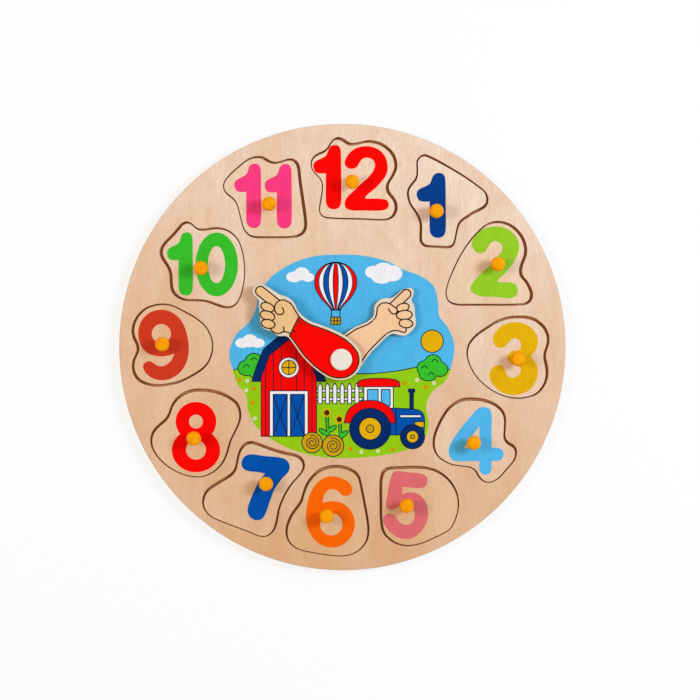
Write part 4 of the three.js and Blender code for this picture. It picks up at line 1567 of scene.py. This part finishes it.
@dataclass
class NumberPiece:
    """A cut-out with its number, its knob and the screw that holds the knob."""

    hour: int
    shop: Workshop
    light_hours: tuple[int, ...] = (1, 3, 4, 7, 10)
    ease: float = 0.2 * MM
    sink_radius: float = 2.75 * MM
    sink_rim: float = 0.45 * MM
    sink_depth: float = 1.95 * MM
    bore_radius: float = 1.35 * MM
    foot_shares: tuple[Mark, ...] = (
        (1.12, 0.0), (1.0, 0.12), (0.95, 0.32), (0.94, 0.7), (1.02, 0.93), (1.22, 1.0),
    )
    head_shares: tuple[Mark, ...] = (
        (0.86, 0.0), (0.95, 0.06), (1.0, 0.2), (1.0, 0.42), (0.965, 0.62), (0.87, 0.8), (0.7, 0.92),
        (0.4, 0.985), (0.0, 1.0),
    )
    head_height: float = 5.5 * MM
    neck_radius: float = 3.25 * MM
    knob_steps: int = 5
    screw_edge: tuple[Mark, ...] = ((0.94, 0.0), (1.0, 0.06 * MM), (0.98, 0.16 * MM))
    screw_head_depth: float = 1.5 * MM
    screw_point: tuple[Mark, ...] = ((1.0, 2.4 * MM), (0.5, 0.9 * MM), (0.0, 0.0))
    shank_radius: float = 1.2 * MM
    screw_cross: Mark = (0.75 * MM, 2.7 * MM, 2.0 * MM)
    screw_sides: int = 32

    def build(self) -> None:
        """Builds the four parts."""
        self.body = f"piece_{self.hour}"
        self.foot = extent(f"knob_{self.hour}")[0]
        self.build_wood()
        self.build_knob()
        self.build_screw()

    def build_wood(self) -> None:
        """Builds the cut-out with the screw's countersunk hole, and prints its number."""
        node = f"puzzle_piece_{self.hour}"
        low, high = extent(node)[2:]
        mouth, bore = circle(self.foot, self.sink_radius), circle(self.foot, self.bore_radius)
        hole = [(mouth, low), (mouth, low + self.sink_rim), (bore, low + self.sink_depth), (bore, high)]
        shell = Shell(f"cut_out_{self.hour}")
        shell.slab(eased(outlines(node)[0], low, high, self.ease), (1,) * 7, [hole], (0,) * 3)
        light = self.hour in self.light_hours
        veneer = self.shop.light_piece_veneer if light else self.shop.piece_veneer
        settle(shell.build(veneer, self.shop.cut), self.body, "piece_wood", node)
        numeral = NUMERALS[self.hour].moved(on_board)
        shell = Shell(f"numeral_{self.hour}")
        shell.film(numeral.shapes, numeral.cuts, high, [0] * len(numeral.shapes))
        settle(shell.build(self.shop.inks[numeral.ink]), self.body, "piece_wood")

    def build_knob(self) -> None:
        """Turns the knob."""
        node = f"knob_{self.hour}"
        low, high = extent(node)[2:]
        head_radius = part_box(node)[1].y - self.foot[1]
        neck = high - low - self.head_height
        foot = profile(self.foot_shares, self.neck_radius, neck, steps=self.knob_steps)
        head = profile(self.head_shares, head_radius, self.head_height, neck, self.knob_steps)
        shape = np.vstack([[(0.0, 0.0)], foot, head])
        knob = self.shop.turn(f"peg_{node}", shape, (*self.foot, low), self.shop.knob)
        settle(knob, self.body, "knob_paint", node)

    def build_screw(self) -> None:
        """Turns the countersunk screw, its head down, and sinks the cross in it."""
        node = f"knob_screw_{self.hour}"
        _, head, low, high = extent(node)
        edge = [(share * head, rise) for share, rise in self.screw_edge]
        point = [(share * self.shank_radius, high - low - drop) for share, drop in self.screw_point]
        shape = [(0.0, 0.0), *edge, (self.shank_radius, self.screw_head_depth), *point]
        axis, name = (*self.foot, low), f"countersunk_screw_{self.hour}"
        screw = self.shop.turn(name, shape, axis, self.shop.zinc, self.screw_sides, Cross=self.screw_cross)
        settle(screw, self.body, "screw_steel", node)


@dataclass
class Pivot:
    """The white headed pivot with its retainer and the two washers."""

    shop: Workshop
    shank_radius: float = 2.5 * MM
    socket_radius: float = 1.45 * MM
    socket_depth: float = 7.0 * MM
    head_shares: tuple[Mark, ...] = (
        (0.94, 0.0), (0.985, 0.06), (1.0, 0.22), (1.0, 0.5), (0.985, 0.72), (0.94, 0.88), (0.86, 0.97),
        (0.76, 1.0),
    )
    head_height: float = 2.4 * MM
    dish: tuple[Mark, ...] = ((0.4, 0.05 * MM), (0.0, 0.08 * MM))
    bore_radius: float = 2.8 * MM
    ease: float = 0.12 * MM
    flange: float = 1.4 * MM
    stud_radius: float = 1.3 * MM
    gate: tuple[Mark, ...] = ((0.0, 0.15 * MM), (0.25, 0.1 * MM), (0.4, 0.0))
    button_sides: int = 96
    sides: int = 64

    def build(self) -> None:
        """Builds the four parts on the pivot's axis."""
        axis, plastic, fibre = extent("pivot_button")[0], self.shop.white_plastic, self.shop.fibre
        for node, name, slot, finish, sides, draw in (
            ("pivot_button", "pivot_cap", "pivot_plastic", plastic, self.button_sides, self.button),
            ("pivot_retainer", "pivot_clip", "pivot_plastic", plastic, self.sides, self.retainer),
            ("lower_washer", "fibre_lower_washer", "washer_fibre", fibre, self.sides, self.washer),
            ("upper_washer", "fibre_upper_washer", "washer_fibre", fibre, self.sides, self.washer),
        ):
            _, radius, low, high = extent(node)
            part = self.shop.turn(name, draw(radius, high - low), (*axis, low), finish, sides)
            settle(part, "board", slot, node)

    def button(self, radius: float, length: float) -> Plan:
        """Draws the headed pivot, hollow from below.

        Args:
            radius: Its radius.
            length: Its height.

        Returns:
            The profile.
        """
        bore, depth, neck = self.socket_radius, self.socket_depth, length - self.head_height
        stem = [(0.0, depth), (bore, depth), (bore, 0.0), (self.shank_radius, 0.0), (self.shank_radius, neck)]
        dish = [(share * radius, length - drop) for share, drop in self.dish]
        return np.vstack([stem, profile(self.head_shares, radius, self.head_height, neck), dish])

    def disc(self, radius: float, thick: float) -> list[Mark]:
        """Draws the eased edge of a disc."""
        ease = self.ease
        return [(radius - ease, 0.0), (radius, ease), (radius, thick - ease), (radius - ease, thick)]

    def retainer(self, radius: float, length: float) -> list[Mark]:
        """Draws the snap-in retainer, a flange and a stud.

        Args:
            radius: Its radius.
            length: Its height.

        Returns:
            The profile.
        """
        stud, chamfer = self.stud_radius, 2 * self.ease
        gate = [(share * radius, rise) for share, rise in self.gate]
        tip = [(stud, self.flange), (stud, length - chamfer), (stud - chamfer, length), (0.0, length)]
        return [*gate, *self.disc(radius, self.flange), *tip]

    def washer(self, radius: float, thick: float) -> list[Mark]:
        """Draws a washer."""
        bore = self.bore_radius
        return [(bore, 0.0), *self.disc(radius, thick), (bore, thick), (bore, 0.0)]


@dataclass(kw_only=True)
class Printed:
    """A part with artwork printed on a flat face of it."""

    shop: Workshop
    body: str
    slot: str
    line_ink: Ink
    line_width: float

    def lay(self, name: str, face: float, patches: Sequence[Patch], cuts: Sequence[Plan]) -> None:
        """Prints patches of ink, each over those before it, then their lines.

        Args:
            name: Name of the artwork.
            face: Height of the wood's face.
            patches: The patches, placed, in printing order.
            cuts: Outlines that stay bare.
        """
        inks = list(dict.fromkeys(patch.ink for patch in patches))
        slots = [inks.index(patch.ink) for patch in patches for _ in patch.shapes]
        shell = Shell(f"{name}_inks")
        shell.film([shape for patch in patches for shape in patch.shapes], cuts, face, slots)
        settle(shell.build(*(self.shop.inks[ink] for ink in inks)), self.body, self.slot)
        runs = []
        for number, patch in enumerate(patches):
            covers = [shape for later in patches[number + 1 :] for shape in later.shapes] + list(cuts)
            lined = patch.shapes if patch.lined else ()
            for shape in lined:
                others = [other for other in patch.shapes if other is not shape]
                runs += visible(shape, True, others + covers)
            for path in patch.strokes:
                runs += visible(path, False, covers)
        line = self.shop.inks[self.line_ink]
        lines = self.shop.lines(f"{name}_lines", runs, face + INK_THICKNESS, self.line_width, line)
        settle(lines, self.body, self.slot)


@dataclass(kw_only=True)
class Hand(Printed):
    """A plywood hand in the shape of a pointing arm. Its drawing is in hundredths of its reach, along Y."""

    line_ink: Ink = Ink.BROWN_LINE
    line_width: float = 0.92 * MM
    node: str
    rim: Material
    reach: float
    turn: float
    arm_ink: Ink
    arm_end: tuple[Mark, ...]
    drawing: tuple[Patch, ...]
    creases: tuple[Plan, ...] = ()
    slip: float = 0.0
    ease: float = 0.3 * MM
    bore_ease: float = 0.1 * MM
    bare_width: float = 1.75 * MM
    far: float = 140.0

    def placed(self, points: Plan) -> Plan:
        """Turns and places points of the drawing on the clock."""
        return extent("pivot_button")[0] + turned(points * self.reach * HUNDREDTH, self.turn)

    def build(self) -> None:
        """Builds the wood and prints the arm on it: in one with its hand where it is bare, or as a sleeve."""
        low, high = extent(self.node)[2:]
        outline, bore = outlines(self.node)
        shell = Shell(f"{self.node}_wood")
        hole = eased(bore, low, high, self.bore_ease, hole=True)
        shell.slab(eased(outline, low, high, self.ease), RIM_BANDS, [hole], (1,) * 7)
        settle(shell.build(self.shop.pale_veneer, self.rim), self.body, self.slot, self.node)
        past = [(self.far, self.far), (-self.far, self.far)]
        beyond = anticlockwise(self.placed(np.vstack([smooth_path(self.arm_end), past])))
        aside = self.slip * turned(np.array([1.0, 0.0]), self.turn)
        arm = trimmed(margin(outline, self.bare_width) + aside, beyond)
        first, *rest = (patch.moved(self.placed) for patch in self.drawing)
        if self.arm_ink is first.ink:
            patches = [Patch(self.arm_ink, arm, *first.shapes), *rest]
        else:
            sleeve = Patch(self.arm_ink, arm, strokes=[self.placed(crease) for crease in self.creases])
            patches = [first, *rest, sleeve]
        self.lay(self.node, high, patches, [bore])


@dataclass(kw_only=True)
class Picture(Printed):
    """The print behind the hands: a farmyard with a barn, a tractor and a striped balloon."""

    body: str = "board"
    slot: str = "panel_wood"
    line_ink: Ink = Ink.DARK_LINE
    line_width: float = 0.64 * MM
    meadow_ring: float = 0.82 * MM
    sunflower_ring: float = 2.5 * MM
    petal_share: float = 0.97
    bloom_height: float = 2.4 * INK_THICKNESS
    red_blooms: tuple[Mark, ...] = (
        (-46, -14.6), (-40.2, -25), (-39.6, -18.6), (3.6, -45.6), (22.6, -46), (37.4, -18), (27.6, -16.4),
    )
    white_blooms: tuple[Mark, ...] = (
        (-43, -19.4), (-39.2, -32), (8.4, -47), (16, -46.6), (33.4, -14.8), (41, -16.2), (-42.6, -15.2),
    )
    sunflowers: tuple[Mark, ...] = ((-7, -29.4), (-1.4, -32.4))

    def build(self) -> None:
        """Prints the patches, their lines and the flowers."""
        face = extent("front_panel")[3]
        self.lay("picture", face, [patch.moved(on_board) for patch in PICTURE], outlines("lower_washer")[:1])
        for name, spots, petals, ring, ink, eye in (
            ("red_blooms", self.red_blooms, 5, self.meadow_ring, Ink.RED, Ink.YELLOW),
            ("white_blooms", self.white_blooms, 5, self.meadow_ring, Ink.WHITE, Ink.YELLOW),
            ("sunflowers", self.sunflowers, 12, self.sunflower_ring, Ink.YELLOW, Ink.BROWN_LINE),
        ):
            points = [(x, y, face + INK_THICKNESS) for x, y in on_board(np.array(spots))]
            values = {"Petals": petals, "Ring": ring, "Thickness": self.bloom_height}
            values["Radius"] = self.petal_share * ring * math.sin(math.pi / petals)
            inks = {"Eye": self.shop.inks[eye], "Finish": self.shop.inks[ink]}
            flowers = self.shop.grow(name, self.shop.blooms, points, [], **values, **inks)
            settle(flowers, self.body, self.slot)


@dataclass
class Studio:
    """The pale floor, the soft lamps, the surroundings and the camera."""

    camera_place: Mark = (0.0051, -0.0020, 1.208)
    lens: float = 91.84
    near: float = 0.01
    warm: Mark = (1.1, 0.99, 0.87)
    cool: Mark = (0.79, 0.98, 1.195)
    ambient: float = 0.469
    lamp_size: float = 0.45
    lamps: tuple[tuple[str, Mark, float], ...] = (
        ("key", (0.95, 0.28, 1.0), 11.0), ("fill", (-0.95, 0.1, 1.05), 5.5),
    )
    floor_reach: float = 4.0
    floor_drop: float = 0.05 * MM
    floor_glow: float = 0.8
    paper: str = "f4f4f4"
    paper_roughness: float = 0.9
    paper_specular: float = 0.1

    def build(self) -> None:
        """Sets up the studio."""
        scene = bpy.context.scene
        scene.view_settings.view_transform = "Standard"
        camera = bpy.data.cameras.new("camera")
        camera.lens = self.lens
        camera.clip_start = self.near
        scene.camera = stand(camera)
        scene.camera.location = self.camera_place
        for (name, place, power), tint in zip(self.lamps, (self.cool, self.warm)):
            light = bpy.data.lights.new(name, "AREA")
            light.shape = "DISK"
            light.size = self.lamp_size
            light.energy = power
            light.color = tint
            lamp = stand(light)
            lamp.location = place
            lamp.rotation_euler = (-Vector(place)).to_track_quat("-Z", "Y").to_euler()
        self.build_world(scene)
        self.build_floor()

    def build_world(self, scene: Scene) -> None:
        """Surrounds the scene with even warm light, and shows the eye plain white.

        Args:
            scene: The scene.
        """
        scene.world = bpy.data.worlds.new("studio")
        scene.world.use_nodes = True
        tree = scene.world.node_tree
        tree.nodes.clear()
        soft = add_node(tree, "ShaderNodeBackground", {"Color": (*self.warm, 1.0), "Strength": self.ambient})
        white = add_node(tree, "ShaderNodeBackground", {"Color": (1, 1, 1, 1), "Strength": 1.0})
        both = add_node(tree, "ShaderNodeMixShader", {0: self.sight(tree), 1: soft, 2: white})
        add_node(tree, "ShaderNodeOutputWorld", {0: both})

    def sight(self, tree: NodeTree) -> NodeSocket | Node:
        """Picks out the rays that show the backdrop: the eye's own, and those off gloss or through glass.

        Args:
            tree: The tree that needs to know.

        Returns:
            What gives 1 for such a ray, and 0 for one that brings light.
        """
        path = add_node(tree, "ShaderNodeLightPath").outputs
        seen = path["Is Camera Ray"]
        for kind in ("Is Glossy Ray", "Is Transmission Ray"):
            seen = add_node(tree, "ShaderNodeMath", {0: seen, 1: path[kind]}, operation="MAXIMUM")
        return seen

    def build_floor(self) -> None:
        """Lays the floor."""
        mesh = bpy.data.meshes.new("floor")
        far = self.floor_reach
        mesh.from_pydata([(-far, -far, 0), (far, -far, 0), (far, far, 0), (-far, far, 0)], [], [range(4)])
        floor = stand(mesh)
        floor.location.z = -self.floor_drop
        made = bpy.data.materials.new("pale_studio_paper")
        made.use_nodes = True
        tree = made.node_tree
        paper = tree.nodes["Principled BSDF"]
        paper.inputs["Base Color"].default_value = linear(self.paper)
        paper.inputs["Roughness"].default_value = self.paper_roughness
        paper.inputs["Specular IOR Level"].default_value = self.paper_specular
        glow = add_node(tree, "ShaderNodeEmission", {"Color": (1, 1, 1, 1), "Strength": 1.0})
        shares = {0: self.sight(tree), 1: self.floor_glow}
        part = add_node(tree, "ShaderNodeMath", shares, operation="MULTIPLY")
        mixed = add_node(tree, "ShaderNodeMixShader", {0: part, 1: paper, 2: glow})
        tree.links.new(mixed.outputs[0], tree.nodes["Material Output"].inputs["Surface"])
        mesh.materials.append(made)


def main() -> None:
    """Builds the studio, then the clock, part by part."""
    logging.basicConfig(level=logging.INFO, format="%(name)s: %(message)s")
    Studio().build()
    shop = Workshop()
    Board(shop).build()
    for hour in HOURS:
        NumberPiece(hour, shop).build()
    Picture(shop=shop).build()
    Hand(
        shop=shop, body="hour_arm", slot="hour_hand_wood", node="hour_hand", rim=shop.hour_rim,
        reach=66 * MM, turn=-45.2, arm_ink=Ink.SKIN, arm_end=((-30, 54), (30, 54)), drawing=HOUR_DRAWING,
    ).build()
    Hand(
        shop=shop, body="minute_arm", slot="minute_hand_paint", node="minute_hand", rim=shop.minute_rim,
        reach=75 * MM, turn=49.9, arm_ink=Ink.RED, drawing=MINUTE_DRAWING, creases=CUFF_CREASES,
        arm_end=((-30, 45), (-11.4, 49.2), (-5, 51), (5.8, 53.6), (30, 59)), slip=-0.35 * MM,
    ).build()
    Pivot(shop).build()


if __name__ == "__main__":
    main()
